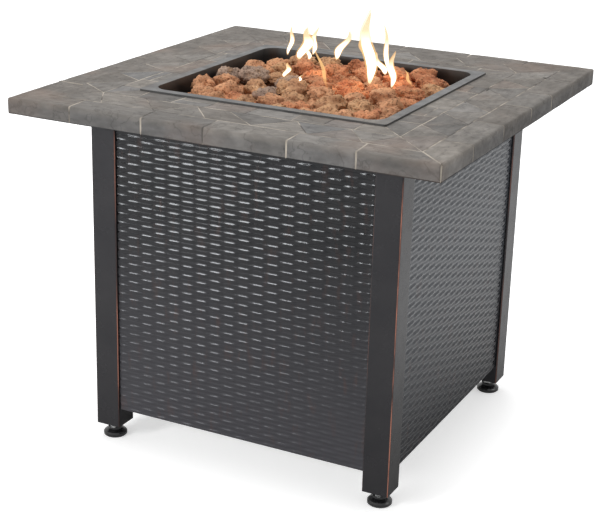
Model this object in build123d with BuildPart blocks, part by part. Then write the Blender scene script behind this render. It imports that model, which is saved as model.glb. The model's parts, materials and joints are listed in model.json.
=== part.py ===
"""Square gas fire table, built as a jointed assembly of separate pieces.

Millimetres, +Z up, origin on the floor under the middle of the table.
The front faces -Y; the service door and the controls are on the +Y side.
"""
import os
import random
from math import cos, hypot, pi, radians, sin, sqrt

from build123d import *

os.makedirs("parts", exist_ok=True)

# Table top
table_height = 629.0
mantel_width = 762.0
mantel_thickness = 28.0
mantel_corner = 6.0
mantel_arris = 5.0
mantel_wall = 16.0
mantel_pocket = 14.0
mantel_margin = 10.0

# Cabinet
mantel_overhang = 97.0
body_width = mantel_width - 2 * mantel_overhang
leg_size = 47.0
leg_wall = 1.6
leg_corner = 2.5
leg_bottom = 26.5
panel_bottom = 61.0
panel_recess = 4.0
panel_depth = 14.0
panel_gap = 0.4
sheet = 1.2
control_height = 70.0
rail_size = 25.0
rail_wall = 2.0
sill_depth = 20.0
sill_height = 12.0
plate_thickness = 1.5

# Clearances
slip = 0.3
run = 0.05
ease = 0.2

# Screws: shank radius, head radius, head height
shank = 2.0
head = 4.0
head_height = 2.2

# Fire bowl and burner
bowl_margin = 73.0
bowl_width = body_width - 2 * bowl_margin
flange_width = 15.0
bowl_flange = bowl_width + 2 * flange_width
bowl_depth = 78.0
bowl_sheet = 1.5
bowl_corner = 28.0
bowl_gap = 3.0
flange_rise = 3.0
ring_share = 0.2725
ring_radius = ring_share * bowl_width
ring_tube = 8.0
ring_wall = 1.0
ring_lift = 6.0
stub_radius = 6.5
stub_bore = 5.5
port_radius = 1.2
port_count = 24
mixer_radius = 8.0
mixer_bore = 6.5
mixer_drop = 13.0
mixer_margin = 14.0
mixer_length = bowl_width / 2 - mixer_margin - ring_radius
pipe_radius = 4.0
pipe_bore = 3.0
shield_thickness = 1.0
stone_radius = 26.5

# Controls
knob_x = 60.0
knob_radius = 21.0
knob_depth = 20.0
knob_travel = 4.0
stem_radius = 4.0
igniter_x = -60.0
button_travel = 4.0
battery_radius = 7.25
battery_length = 50.5

# Door
door_gap = 2.5
door_head_gap = 2.0
pivot_inset = 10.0
pivot_depth = 6.0
pin_radius = 3.0
pin_head = 4.5

# Feet and cylinder clamp
pad_radius = 21.0
pad_height = 16.0
stud_radius = 4.0
stud_neck = 5.0
insert_height = 18.0
cylinder_foot = 101.6
collar_gap = 4.4
collar_height = 8.0
clamp_lift = 20.0
clamp_travel = 12.0
clamp_radius = 3.0

# Derived levels and faces
mantel_bottom = table_height - mantel_thickness
body_half = body_width / 2
leg_inner = body_half - leg_size
leg_centre = body_half - leg_size / 2
panel_face = body_half - panel_recess
panel_back = panel_face - panel_depth
panel_width = 2 * (leg_inner - panel_gap)
panel_top = mantel_bottom - panel_gap
control_bottom = panel_top - control_height
control_z = control_bottom + 0.45 * control_height
bowl_bottom = table_height - bowl_depth
bowl_floor = bowl_bottom + bowl_sheet
ring_z = bowl_floor + ring_lift + ring_tube
mixer_z = bowl_bottom - mixer_drop
shield_top = mixer_z - mixer_radius - 1.0
plate_bottom = panel_bottom + sheet
plate_top = plate_bottom + plate_thickness
screw_depth = panel_face - panel_depth / 2
panel_screw_levels = (panel_bottom + 60, panel_top - 60)
sides = {"right": 0, "rear": 90, "left": 180, "front": 270}
corners = {
    "front_left": (-1, -1),
    "front_right": (1, -1),
    "rear_left": (-1, 1),
    "rear_right": (1, 1),
}


def save(part, name):
    """Names a finished piece and writes it."""
    part.label = name
    export_step(part, f"parts/{name}.step")


def face_plane(side, distance, height=0.0):
    """Plane on one side of the cabinet: local x runs along it, y up, z outward."""
    angle = radians(sides[side])
    out = Vector(round(cos(angle)), round(sin(angle)), 0)
    along = Vector(-out.Y, out.X, 0)
    return Plane(origin=out * distance + Vector(0, 0, height), x_dir=along, z_dir=out)


def cross_plane(side, shift=0.0):
    """Plane across one side of the cabinet: local x runs up, y outward, z along it."""
    angle = radians(sides[side])
    along = Vector(-round(sin(angle)), round(cos(angle)), 0)
    return Plane(origin=along * shift, x_dir=(0, 0, 1), z_dir=along)


def screw(plane, length, shank_radius=shank, head_radius=head, height=head_height):
    """Adds a pan head screw: the head stands on the plane and the shank goes below it."""
    with BuildSketch(plane) as crown:
        Circle(head_radius)
    extrude(crown.sketch, amount=height)
    with BuildSketch(plane) as stem:
        Circle(shank_radius)
    extrude(stem.sketch, amount=-length)


def cut_holes(plane, spots, radius, reach):
    """Cuts round holes both ways through the plane."""
    with BuildSketch(plane) as holes:
        with Locations(*spots):
            Circle(radius)
    extrude(holes.sketch, amount=reach, both=True, mode=Mode.SUBTRACT)


def rod(plane, radius, length, mode=Mode.ADD):
    """Adds or cuts a round bar that starts on the plane."""
    with BuildSketch(plane) as end:
        Circle(radius)
    extrude(end.sketch, amount=length, mode=mode)


def side_holes(side, levels):
    """Cuts the holes of the screws that join a side's flanges to its legs."""
    spots = [(level, screw_depth) for level in levels]
    cut_holes(cross_plane(side), spots, shank + ease, leg_inner + leg_wall + 1)


# Mantel
rail_screw_inset = 87.0
rail_shift = leg_inner - rail_screw_inset
rail_spots = [(side, shift) for side in sides for shift in (-rail_shift, rail_shift)]
rail_line = panel_back - rail_size / 2
mantel_hole_depth = 16.0
with BuildPart() as mantel:
    with BuildSketch(Plane.XY.offset(mantel_bottom)):
        RectangleRounded(mantel_width, mantel_width, mantel_corner)
        opening = bowl_width + 2 * bowl_gap
        RectangleRounded(opening, opening, bowl_corner + bowl_gap, mode=Mode.SUBTRACT)
    extrude(amount=mantel_thickness)
    with BuildSketch(Plane.XY.offset(mantel_bottom)):
        pocket_outer = mantel_width - 2 * mantel_wall
        pocket_inner = body_width + 2 * mantel_margin
        Rectangle(pocket_outer, pocket_outer)
        Rectangle(pocket_inner, pocket_inner, mode=Mode.SUBTRACT)
    extrude(amount=mantel_pocket, mode=Mode.SUBTRACT)
    for side, shift in rail_spots:
        spot = face_plane(side, rail_line).from_local_coords((shift, mantel_bottom, 0))
        rod(Plane(spot), shank + ease, mantel_hole_depth, mode=Mode.SUBTRACT)
    fillet(mantel.faces().sort_by(Axis.Z)[-1].outer_wire().edges(), radius=mantel_arris)
save(mantel.part, "mantel")

# Rails under the mantel
with BuildPart() as top_rails:
    for side in sides:
        with BuildSketch(cross_plane(side)):
            with Locations((mantel_bottom - rail_size / 2, panel_back - rail_size / 2)):
                Rectangle(rail_size, rail_size)
            with Locations((mantel_bottom - rail_wall - rail_size / 2, panel_back - rail_wall - rail_size / 2)):
                Rectangle(rail_size, rail_size, mode=Mode.SUBTRACT)
        extrude(amount=leg_inner, both=True)
        cut_holes(
            Plane.XY.offset(mantel_bottom),
            [tuple(face_plane(side, rail_line).from_local_coords((s, 0, 0)))[:2] for s in (-rail_shift, rail_shift)],
            shank + ease,
            rail_wall + 1,
        )
save(top_rails.part, "top_rails")

with BuildPart() as mantel_screws:
    for side, shift in rail_spots:
        spot = face_plane(side, rail_line).from_local_coords((shift, mantel_bottom - rail_wall, 0))
        screw(Plane(spot, z_dir=(0, 0, -1)), rail_wall + mantel_hole_depth - 2)
save(mantel_screws.part, "mantel_screws")


# Legs
def build_leg(sx, sy):
    """Square tube leg with the holes of the panels on either side of it."""
    with BuildPart() as leg:
        with BuildSketch(Plane.XY.offset(leg_bottom)):
            with Locations((sx * leg_centre, sy * leg_centre)):
                RectangleRounded(leg_size, leg_size, leg_corner)
                Rectangle(leg_size - 2 * leg_wall, leg_size - 2 * leg_wall, mode=Mode.SUBTRACT)
        extrude(amount=mantel_bottom - leg_bottom)
        side_holes("right" if sx > 0 else "left", panel_screw_levels)
        if sy < 0:
            side_holes("front", panel_screw_levels)
        else:
            side_holes("rear", [control_z])
    return leg.part


for corner, (sx, sy) in corners.items():
    save(build_leg(sx, sy), f"leg_{corner}")

insert_size = leg_size - 2 * leg_wall - 2 * run
with BuildPart() as leg_inserts:
    with BuildSketch(Plane.XY.offset(leg_bottom)):
        for sx, sy in corners.values():
            with Locations((sx * leg_centre, sy * leg_centre)):
                Rectangle(insert_size, insert_size)
                Circle(stud_radius + run, mode=Mode.SUBTRACT)
    extrude(amount=insert_height)
save(leg_inserts.part, "leg_inserts")

# Levelling feet
socket_bottom = pad_height / 2
collar_bottom = pad_height + slip
collar_top = leg_bottom - 2.5
stud_top = leg_bottom + insert_height + 12


def build_pad(x, y):
    """Round glide with a socket for the stud."""
    with BuildPart() as pad:
        with BuildSketch(Plane(origin=(x, y, 0), x_dir=(1, 0, 0), z_dir=(0, -1, 0))):
            Polygon(
                (0, 0),
                (pad_radius - 2, 0),
                (pad_radius, 2),
                (pad_radius, pad_height * 0.4),
                (pad_radius - 2, pad_height * 0.55),
                (pad_radius * 0.6, pad_height * 0.8),
                (pad_radius * 0.6, pad_height),
                (0, pad_height),
                align=None,
            )
        revolve(axis=Axis((x, y, 0), (0, 0, 1)))
        rod(Plane((x, y, socket_bottom)), stud_neck + run, pad_height, mode=Mode.SUBTRACT)
    return pad.part


def build_stud(x, y):
    """Threaded stud with a hexagon to turn it by."""
    with BuildPart() as stud:
        rod(Plane((x, y, socket_bottom + slip)), stud_neck, collar_bottom - socket_bottom - slip)
        with BuildSketch(Plane.XY.offset(collar_bottom)):
            with Locations((x, y)):
                RegularPolygon(stud_neck * 1.7, 6, major_radius=False)
        extrude(amount=collar_top - collar_bottom)
        rod(Plane((x, y, collar_top)), stud_radius, stud_top - collar_top)
    return stud.part


for corner, (sx, sy) in corners.items():
    save(build_pad(sx * leg_centre, sy * leg_centre), f"pad_{corner}")
    save(build_stud(sx * leg_centre, sy * leg_centre), f"stud_{corner}")


# Panels
def build_tray(side, width, shift, bottom, top):
    """Folded sheet: a face with flanges turned inward on all four edges."""
    height = top - bottom
    with BuildPart() as tray:
        with BuildSketch(face_plane(side, panel_face)):
            with Locations((shift, bottom + height / 2)):
                Rectangle(width, height)
        extrude(amount=-panel_depth)
        with BuildSketch(face_plane(side, panel_face - sheet)):
            with Locations((shift, bottom + height / 2)):
                Rectangle(width - 2 * sheet, height - 2 * sheet)
        extrude(amount=-panel_depth, mode=Mode.SUBTRACT)
    return tray.part


base_screw_inset = 117.0
base_shift = leg_inner - base_screw_inset
base_line = panel_face - panel_depth / 2
for side in ("front", "left", "right"):
    with BuildPart() as panel:
        add(build_tray(side, panel_width, 0, panel_bottom, panel_top))
        side_holes(side, panel_screw_levels)
        spots = [face_plane(side, base_line).from_local_coords((s, 0, 0)) for s in (-base_shift, base_shift)]
        cut_holes(Plane.XY.offset(panel_bottom), [(p.X, p.Y) for p in spots], shank + ease, sheet + 1)
    save(panel.part, f"{side}_panel")

flange_inner = panel_width / 2 - sheet
with BuildPart() as panel_screws:
    for side in sides:
        levels = [control_z] if side == "rear" else panel_screw_levels
        for level in levels:
            for way in (-1, 1):
                middle = cross_plane(side, way * flange_inner).from_local_coords((level, screw_depth, 0))
                inward = cross_plane(side).z_dir * -way
                screw(Plane(middle, z_dir=inward), sheet + panel_gap + leg_wall + 6)
save(panel_screws.part, "panel_screws")

# Shelf for the gas cylinder
sill_rear = panel_back - 6
with BuildPart() as rear_sill:
    with BuildSketch(cross_plane("rear")):
        with Locations((plate_bottom - sill_height / 2, sill_rear - sill_depth / 2)):
            Rectangle(sill_height, sill_depth)
            Rectangle(sill_height - 2 * leg_wall, sill_depth - 2 * leg_wall, mode=Mode.SUBTRACT)
    extrude(amount=leg_inner, both=True)
    cut_holes(
        Plane.XY.offset(plate_bottom),
        [(-base_shift, sill_rear - sill_depth / 2), (base_shift, sill_rear - sill_depth / 2)],
        shank + ease,
        leg_wall + 1,
    )
save(rear_sill.part, "rear_sill")

plate_reach = panel_face - sheet - 2
plate_arm = leg_inner - panel_gap - sheet - 1
vent_inset = 64.4
vent_length = 70.0
vent_width = 10.0
vent_pitch = 40.0
vent_rows = 7
base_spots = [(-base_line, -base_shift), (-base_line, base_shift), (base_line, -base_shift), (base_line, base_shift)]
base_spots += [(-base_shift, -base_line), (base_shift, -base_line)]
base_spots += [(-base_shift, sill_rear - sill_depth / 2), (base_shift, sill_rear - sill_depth / 2)]
with BuildPart() as base_plate:
    with BuildSketch(Plane.XY.offset(plate_bottom)):
        Rectangle(2 * plate_reach, 2 * plate_arm)
        with Locations((0, (sill_rear - plate_reach) / 2)):
            Rectangle(2 * plate_arm, sill_rear + plate_reach)
        with Locations(*base_spots):
            Circle(shank + ease, mode=Mode.SUBTRACT)
        with GridLocations(2 * (plate_arm - vent_inset), vent_pitch, 2, vent_rows):
            SlotOverall(vent_length, vent_width, mode=Mode.SUBTRACT)
    extrude(amount=plate_thickness)
save(base_plate.part, "base_plate")

with BuildPart() as base_screws:
    for x, y in base_spots:
        screw(Plane((x, y, plate_top)), plate_thickness + sheet + 0.5)
save(base_screws.part, "base_screws")

collar_inner = cylinder_foot + collar_gap
with BuildPart() as tank_ring:
    with BuildSketch(Plane.XY.offset(plate_top)):
        Circle(collar_inner + 10)
        Circle(collar_inner, mode=Mode.SUBTRACT)
    extrude(amount=plate_thickness)
    with BuildSketch(Plane.XY.offset(plate_top)):
        Circle(collar_inner + plate_thickness)
        Circle(collar_inner, mode=Mode.SUBTRACT)
    extrude(amount=collar_height)
save(tank_ring.part, "tank_ring")

clamp_z = plate_top + clamp_lift
bracket_x = collar_inner + 12
bracket_wall = 3.0
clamp_pad_x = collar_inner + 2
clamp_pad_radius = 6.0
clamp_pad_depth = 5.0
wing_x = bracket_x + bracket_wall + clamp_travel + 3
with BuildPart() as clamp_bracket:
    with BuildSketch(Plane.XZ.offset(-12)):
        with Locations((bracket_x + bracket_wall / 2, plate_top + 15)):
            Rectangle(bracket_wall, 30)
        with Locations((bracket_x + 12, plate_top + bracket_wall / 2)):
            Rectangle(24, bracket_wall)
    extrude(amount=24)
    rod(Plane((bracket_x - 1, 0, clamp_z), z_dir=(1, 0, 0)), clamp_radius + run, 6, mode=Mode.SUBTRACT)
save(clamp_bracket.part, "clamp_bracket")

with BuildPart() as clamp_pad:
    rod(Plane((clamp_pad_x, 0, clamp_z), z_dir=(1, 0, 0)), clamp_pad_radius, clamp_pad_depth)
    rod(
        Plane((clamp_pad_x + 2, 0, clamp_z), z_dir=(1, 0, 0)),
        clamp_radius + run,
        clamp_pad_depth,
        mode=Mode.SUBTRACT,
    )
save(clamp_pad.part, "clamp_pad")

with BuildPart() as wing_screw:
    rod(Plane((clamp_pad_x + 2 + slip, 0, clamp_z), z_dir=(1, 0, 0)), clamp_radius, wing_x - clamp_pad_x + 4)
    rod(Plane((wing_x, 0, clamp_z), z_dir=(1, 0, 0)), clamp_radius + 2.5, 8)
    with BuildSketch(Plane((wing_x + 2.5, 0, clamp_z), x_dir=(0, 1, 0), z_dir=(1, 0, 0))):
        SlotOverall(34, 12)
    extrude(amount=3)
save(wing_screw.part, "wing_screw")

# Fire bowl
bowl_inner = bowl_width - 2 * bowl_sheet
flange_top = table_height + flange_rise
flange_bottom = flange_top - bowl_sheet
inlet_y = ring_radius
spacer_inset = 31.0
spacer_half = bowl_width / 2 - spacer_inset
spacer_spots = [(-spacer_half, -spacer_half), (spacer_half, -spacer_half)]
spacer_spots += [(-spacer_half, spacer_half), (spacer_half, spacer_half)]
electrode_angle = radians(72)
electrode_radius = ring_radius - ring_tube - 8
electrode_x = electrode_radius * cos(electrode_angle)
electrode_y = electrode_radius * sin(electrode_angle)
insulator_radius = 3.5
with BuildPart() as fire_bowl:
    with BuildSketch(Plane.XY.offset(bowl_bottom)):
        RectangleRounded(bowl_width, bowl_width, bowl_corner)
    extrude(amount=bowl_sheet)
    with BuildSketch(Plane.XY.offset(bowl_bottom)):
        RectangleRounded(bowl_width, bowl_width, bowl_corner)
        RectangleRounded(bowl_inner, bowl_inner, bowl_corner - bowl_sheet, mode=Mode.SUBTRACT)
    extrude(amount=flange_top - bowl_bottom)
    with BuildSketch(Plane.XY.offset(flange_bottom)):
        RectangleRounded(bowl_flange, bowl_flange, 6)
        RectangleRounded(bowl_inner, bowl_inner, bowl_corner - bowl_sheet, mode=Mode.SUBTRACT)
    extrude(amount=bowl_sheet)
    with BuildSketch(Plane.XY.offset(table_height)):
        RectangleRounded(bowl_flange, bowl_flange, 6)
        lip_inner = bowl_flange - 2 * bowl_sheet
        RectangleRounded(lip_inner, lip_inner, 4.5, mode=Mode.SUBTRACT)
    extrude(amount=flange_rise)
    cut_holes(Plane.XY.offset(bowl_bottom), [(0, inlet_y)], stub_radius + ease, bowl_sheet + 1)
    cut_holes(Plane.XY.offset(bowl_bottom), [(electrode_x, electrode_y)], insulator_radius + ease, bowl_sheet + 1)
save(fire_bowl.part, "fire_bowl")

# Heat shield under the bowl
shield_width = bowl_width - 10
with BuildPart() as heat_shield:
    with BuildSketch(Plane.XY.offset(shield_top)):
        RectangleRounded(shield_width, shield_width, bowl_corner)
        with Locations(*spacer_spots):
            Circle(shank + ease, mode=Mode.SUBTRACT)
    extrude(amount=-shield_thickness)
save(heat_shield.part, "heat_shield")

with BuildPart() as shield_spacers:
    with BuildSketch(Plane.XY.offset(shield_top)):
        with Locations(*spacer_spots):
            RegularPolygon(5, 6)
            Circle(shank + ease, mode=Mode.SUBTRACT)
    extrude(amount=bowl_bottom - shield_top)
save(shield_spacers.part, "shield_spacers")

with BuildPart() as shield_screws:
    for x, y in spacer_spots:
        screw(Plane((x, y, shield_top - shield_thickness), z_dir=(0, 0, -1)), shield_thickness + 12)
save(shield_screws.part, "shield_screws")

# Burner
saddle_angles = (210, 330, 60)
with BuildPart() as burner_ring:
    with BuildSketch(Plane.XZ):
        with Locations((ring_radius, ring_z)):
            Circle(ring_tube)
            Circle(ring_tube - ring_wall, mode=Mode.SUBTRACT)
    revolve(axis=Axis.Z)
    for angle in saddle_angles:
        spot = (ring_radius * cos(radians(angle)), ring_radius * sin(radians(angle)))
        with BuildSketch(Plane.XY.offset(bowl_floor)):
            with Locations(spot):
                Rectangle(10, 10, rotation=angle)
        extrude(amount=ring_lift + 0.6 * ring_wall)
    with BuildSketch(Plane.XY.offset(mixer_z + 3)):
        with Locations((0, inlet_y)):
            Circle(stub_radius)
            Circle(stub_bore, mode=Mode.SUBTRACT)
    extrude(until=Until.NEXT)
    rod(Plane((0, inlet_y, mixer_z + 3)), stub_bore, ring_z - mixer_z - 3, mode=Mode.SUBTRACT)
    for k in range(port_count):
        angle = 2 * pi * (k + 0.5) / port_count
        port = (ring_radius * cos(angle), ring_radius * sin(angle), ring_z)
        rod(Plane(port), port_radius, ring_tube + 1, mode=Mode.SUBTRACT)
save(burner_ring.part, "burner_ring")

nut_height = 4.5
with BuildPart() as burner_lock_nut:
    with BuildSketch(Plane.XY.offset(bowl_bottom - nut_height)):
        with Locations((0, inlet_y)):
            RegularPolygon(stub_radius * 1.7, 6, major_radius=False)
            Circle(stub_radius + run, mode=Mode.SUBTRACT)
    extrude(amount=nut_height)
save(burner_lock_nut.part, "burner_lock_nut")

mixer_end = inlet_y + mixer_length
mixer_cap = 4.0
jet_radius = 5.0
boss_top = bowl_bottom - nut_height - 0.5
with BuildPart() as mixer_tube:
    rod(Plane((0, inlet_y, mixer_z - mixer_radius - 0.5)), stub_radius + 3, boss_top - mixer_z + mixer_radius + 0.5)
    rod(Plane((0, inlet_y, mixer_z), z_dir=(0, 1, 0)), mixer_radius, mixer_length)
    rod(Plane((0, inlet_y, mixer_z + 3 - run)), stub_radius + run, boss_top - mixer_z, mode=Mode.SUBTRACT)
    rod(Plane((0, inlet_y, mixer_z)), stub_bore, boss_top - mixer_z, mode=Mode.SUBTRACT)
    rod(Plane((0, inlet_y, mixer_z), z_dir=(0, 1, 0)), mixer_bore, mixer_length - mixer_cap, mode=Mode.SUBTRACT)
    rod(Plane((0, inlet_y, mixer_z), z_dir=(0, 1, 0)), jet_radius + run, mixer_length + 1, mode=Mode.SUBTRACT)
    cut_holes(Plane.YZ, [(mixer_end - 18, mixer_z)], 4.0, mixer_radius + 1)
save(mixer_tube.part, "mixer_tube")

jet_tail = mixer_end + 16
with BuildPart() as gas_jet:
    rod(Plane((0, mixer_end - 8, mixer_z), z_dir=(0, 1, 0)), jet_radius, 8)
    with BuildSketch(Plane((0, mixer_end, mixer_z), z_dir=(0, 1, 0))):
        RegularPolygon(7, 6, major_radius=False)
    extrude(amount=8)
    rod(Plane((0, mixer_end + 8, mixer_z), z_dir=(0, 1, 0)), pipe_radius, jet_tail - mixer_end - 8)
    rod(Plane((0, mixer_end - 9, mixer_z), z_dir=(0, 1, 0)), 0.8, 12, mode=Mode.SUBTRACT)
    rod(Plane((0, mixer_end, mixer_z), z_dir=(0, 1, 0)), pipe_bore, 30, mode=Mode.SUBTRACT)
save(gas_jet.part, "gas_jet")

# Valve and gas pipe
panel_inner = panel_face - sheet
valve_y = panel_inner - 30
valve_radius = 13.0
valve_flange = 3.0
outlet_x = knob_x - 24
inlet_z = control_z - 18
valve_screw_spots = [(knob_x - 15, control_z), (knob_x + 15, control_z)]
stem_rear = panel_inner - 20
with BuildPart() as valve_body:
    rod(Plane((knob_x, panel_inner - valve_flange, control_z), z_dir=(0, -1, 0)), valve_radius, 44)
    with BuildSketch(Plane((knob_x, panel_inner, control_z), x_dir=(-1, 0, 0), z_dir=(0, 1, 0))):
        RectangleRounded(42, 26, 4)
    extrude(amount=-valve_flange)
    rod(Plane((knob_x, valve_y, control_z), z_dir=(-1, 0, 0)), 7.0, knob_x - outlet_x)
    rod(Plane((knob_x, valve_y, control_z), z_dir=(0, 0, -1)), 8.0, control_z - inlet_z)
    rod(Plane((knob_x, stem_rear - slip, control_z), z_dir=(0, 1, 0)), stem_radius + run, 40, mode=Mode.SUBTRACT)
    cut_holes(
        Plane((0, panel_inner, 0), x_dir=(1, 0, 0), z_dir=(0, -1, 0)),
        valve_screw_spots,
        shank + ease,
        valve_flange + 1,
    )
save(valve_body.part, "valve_body")

fitting_radius = 7.94
fitting_length = 13.0
fitting_hex = 5.0
with BuildPart() as inlet_fitting:
    with BuildSketch(Plane((knob_x, valve_y, inlet_z), z_dir=(0, 0, -1))):
        RegularPolygon(9.5, 6, major_radius=False)
    extrude(amount=fitting_hex)
    rod(Plane((knob_x, valve_y, inlet_z - fitting_hex), z_dir=(0, 0, -1)), fitting_radius, fitting_length)
    rod(Plane((knob_x, valve_y, inlet_z), z_dir=(0, 0, -1)), pipe_bore, 40, mode=Mode.SUBTRACT)
save(inlet_fitting.part, "inlet_fitting")

pipe_bend = 0.45 * (control_z - mixer_z)
with BuildPart() as gas_pipe:
    with BuildLine() as route:
        FilletPolyline(
            (0, jet_tail, mixer_z),
            (0, valve_y, mixer_z),
            (0, valve_y, control_z),
            (outlet_x, valve_y, control_z),
            radius=pipe_bend,
        )
    with BuildSketch(Plane((0, jet_tail, mixer_z), z_dir=(0, 1, 0))):
        Circle(pipe_radius)
        Circle(pipe_bore, mode=Mode.SUBTRACT)
    sweep()
save(gas_pipe.part, "gas_pipe")

pipe_nut = 10.0
with BuildPart() as pipe_nuts:
    nut_planes = [
        Plane((0, mixer_end + 8, mixer_z), z_dir=(0, 1, 0)),
        Plane((outlet_x, valve_y, control_z), z_dir=(-1, 0, 0)),
    ]
    for plane in nut_planes:
        with BuildSketch(plane):
            RegularPolygon(pipe_radius + 2.5, 6, major_radius=False)
            Circle(pipe_radius + run, mode=Mode.SUBTRACT)
        extrude(amount=pipe_nut)
save(pipe_nuts.part, "pipe_nuts")

# Control panel above the door
igniter_neck = 9.0
pivot_x = leg_inner - door_gap - pivot_inset
pivot_y = panel_face - pivot_depth
control_plane = Plane((0, panel_face, 0), x_dir=(1, 0, 0), z_dir=(0, -1, 0))
with BuildPart() as control_panel:
    add(build_tray("rear", panel_width, 0, control_bottom, panel_top))
    side_holes("rear", [control_z])
    cut_holes(control_plane, [(knob_x, control_z)], stem_radius + 2, sheet + 1)
    cut_holes(control_plane, valve_screw_spots, shank + ease, sheet + 1)
    cut_holes(control_plane, [(igniter_x, control_z)], igniter_neck + ease, sheet + 1)
    cut_holes(Plane.XY.offset(control_bottom), [(pivot_x, pivot_y)], pin_radius + run, sheet + 1)
save(control_panel.part, "control_panel")

bezel_thickness = 1.5
bezel_face = panel_face + bezel_thickness
with BuildPart() as knob_bezel:
    with BuildSketch(Plane((knob_x, panel_face, control_z), x_dir=(-1, 0, 0), z_dir=(0, 1, 0))):
        Circle(knob_radius + 7)
        Circle(stem_radius + 2, mode=Mode.SUBTRACT)
        with Locations((-15, 0), (15, 0)):
            Circle(shank + ease, mode=Mode.SUBTRACT)
    extrude(amount=bezel_thickness)
save(knob_bezel.part, "knob_bezel")

screw_head = 2.0
valve_screw_length = bezel_thickness + sheet + valve_flange + 3
with BuildPart() as valve_screws:
    for x, z in valve_screw_spots:
        screw(Plane((x, bezel_face, z), z_dir=(0, 1, 0)), valve_screw_length, shank, 3.2, screw_head)
save(valve_screws.part, "valve_screws")

knob_back = bezel_face + screw_head + knob_travel + 0.8
knob_front = knob_back + knob_depth
stem_front = knob_front - knob_travel - 3.5
stem_flat = 2.8
with BuildPart() as valve_stem:
    rod(Plane((knob_x, stem_rear, control_z), z_dir=(0, 1, 0)), stem_radius, stem_front - stem_rear)
    with BuildSketch(Plane((knob_x, bezel_face, control_z), x_dir=(-1, 0, 0), z_dir=(0, 1, 0))):
        with Locations((0, stem_flat + stem_radius)):
            Rectangle(4 * stem_radius, 2 * stem_radius)
    extrude(amount=stem_front - bezel_face, mode=Mode.SUBTRACT)
save(valve_stem.part, "valve_stem")

knob_wall = 3.0
knob_hub = 8.0
with BuildPart() as control_knob:
    with BuildSketch(Plane((knob_x, knob_back, control_z), x_dir=(-1, 0, 0), z_dir=(0, 1, 0))):
        Circle(knob_radius)
        with PolarLocations(knob_radius + 3, 12):
            Circle(4.5, mode=Mode.SUBTRACT)
    extrude(amount=knob_depth - 6)
    fillet(control_knob.faces().sort_by(Axis.Y)[-1].outer_wire().edges(), radius=1.0)
    with BuildSketch(Plane((knob_x, knob_front - 6, control_z), x_dir=(-1, 0, 0), z_dir=(0, 1, 0))):
        SlotOverall(2 * knob_radius - 6, 9, rotation=90)
    extrude(amount=6)
    with BuildSketch(Plane((knob_x, knob_back, control_z), x_dir=(-1, 0, 0), z_dir=(0, 1, 0))):
        Circle(knob_radius - 2 * knob_wall + 0.5 * knob_wall)
        Circle(knob_hub, mode=Mode.SUBTRACT)
    extrude(amount=8, mode=Mode.SUBTRACT)
    with BuildSketch(Plane((knob_x, knob_back, control_z), x_dir=(-1, 0, 0), z_dir=(0, 1, 0))):
        Circle(stem_radius + run)
        with Locations((0, stem_flat + run + stem_radius)):
            Rectangle(4 * stem_radius, 2 * stem_radius, mode=Mode.SUBTRACT)
    extrude(amount=knob_depth - 3, mode=Mode.SUBTRACT)
save(control_knob.part, "control_knob")

# Spark igniter
igniter_bore = battery_radius + 0.35
button_radius = igniter_bore - run
neck_front = panel_face + 8
button_rear = panel_inner - 4
battery_front = button_rear - button_travel - 0.7
battery_rear = battery_front - battery_length
with BuildPart() as igniter_housing:
    rod(Plane((igniter_x, battery_rear - 2, control_z), z_dir=(0, 1, 0)), 10.0, panel_inner - battery_rear + 2)
    rod(Plane((igniter_x, panel_inner - 3, control_z), z_dir=(0, 1, 0)), 13.0, 3)
    rod(Plane((igniter_x, panel_inner, control_z), z_dir=(0, 1, 0)), igniter_neck, neck_front - panel_inner)
    rod(
        Plane((igniter_x, battery_rear, control_z), z_dir=(0, 1, 0)),
        igniter_bore,
        neck_front - battery_rear,
        mode=Mode.SUBTRACT,
    )
save(igniter_housing.part, "igniter_housing")

with BuildPart() as igniter_nut:
    with BuildSketch(Plane((igniter_x, panel_face, control_z), x_dir=(-1, 0, 0), z_dir=(0, 1, 0))):
        Circle(14)
        Circle(igniter_neck + run, mode=Mode.SUBTRACT)
    extrude(amount=6)
    chamfer(igniter_nut.faces().sort_by(Axis.Y)[-1].outer_wire().edges(), length=1.0)
save(igniter_nut.part, "igniter_nut")

with BuildPart() as igniter_battery:
    rod(Plane((igniter_x, battery_rear + 0.1, control_z), z_dir=(0, 1, 0)), battery_radius, battery_length - 2)
    rod(Plane((igniter_x, battery_front - 2, control_z), z_dir=(0, 1, 0)), 2.6, 1.8)
save(igniter_battery.part, "igniter_battery")

with BuildPart() as igniter_button:
    rod(Plane((igniter_x, button_rear, control_z), z_dir=(0, 1, 0)), button_radius, neck_front + 6 - button_rear)
    fillet(igniter_button.faces().sort_by(Axis.Y)[-1].outer_wire().edges(), radius=1.5)
save(igniter_button.part, "igniter_button")

# Spark electrode beside the burner
with BuildPart() as electrode_insulator:
    rod(Plane((electrode_x, electrode_y, mixer_z)), insulator_radius, ring_z - mixer_z)
    rod(Plane((electrode_x, electrode_y, bowl_floor)), 6.0, 3)
    rod(Plane((electrode_x, electrode_y, mixer_z)), 1.2 + run, 80, mode=Mode.SUBTRACT)
save(electrode_insulator.part, "electrode_insulator")

with BuildPart() as electrode_rod:
    rod(Plane((electrode_x, electrode_y, mixer_z - 4)), 1.2, ring_z - mixer_z + 12)
save(electrode_rod.part, "electrode_rod")


# Lava rocks
def stone_rings(x, y, bottom, top, radius, rng):
    """Corner points of a faceted stone that stays inside an upright cylinder."""
    rings = []
    turn = rng.uniform(0, pi)
    for level, reach in ((0.0, 0.82), (0.45, 1.0), (0.82, 0.86), (1.0, 0.5)):
        ring = []
        turn += pi / 6
        for k in range(6):
            angle = turn + k * pi / 3
            away = radius * reach * rng.uniform(0.9, 1.0)
            ring.append(Vector(x + away * cos(angle), y + away * sin(angle), bottom + level * (top - bottom)))
        rings.append(ring)
    return rings


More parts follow.
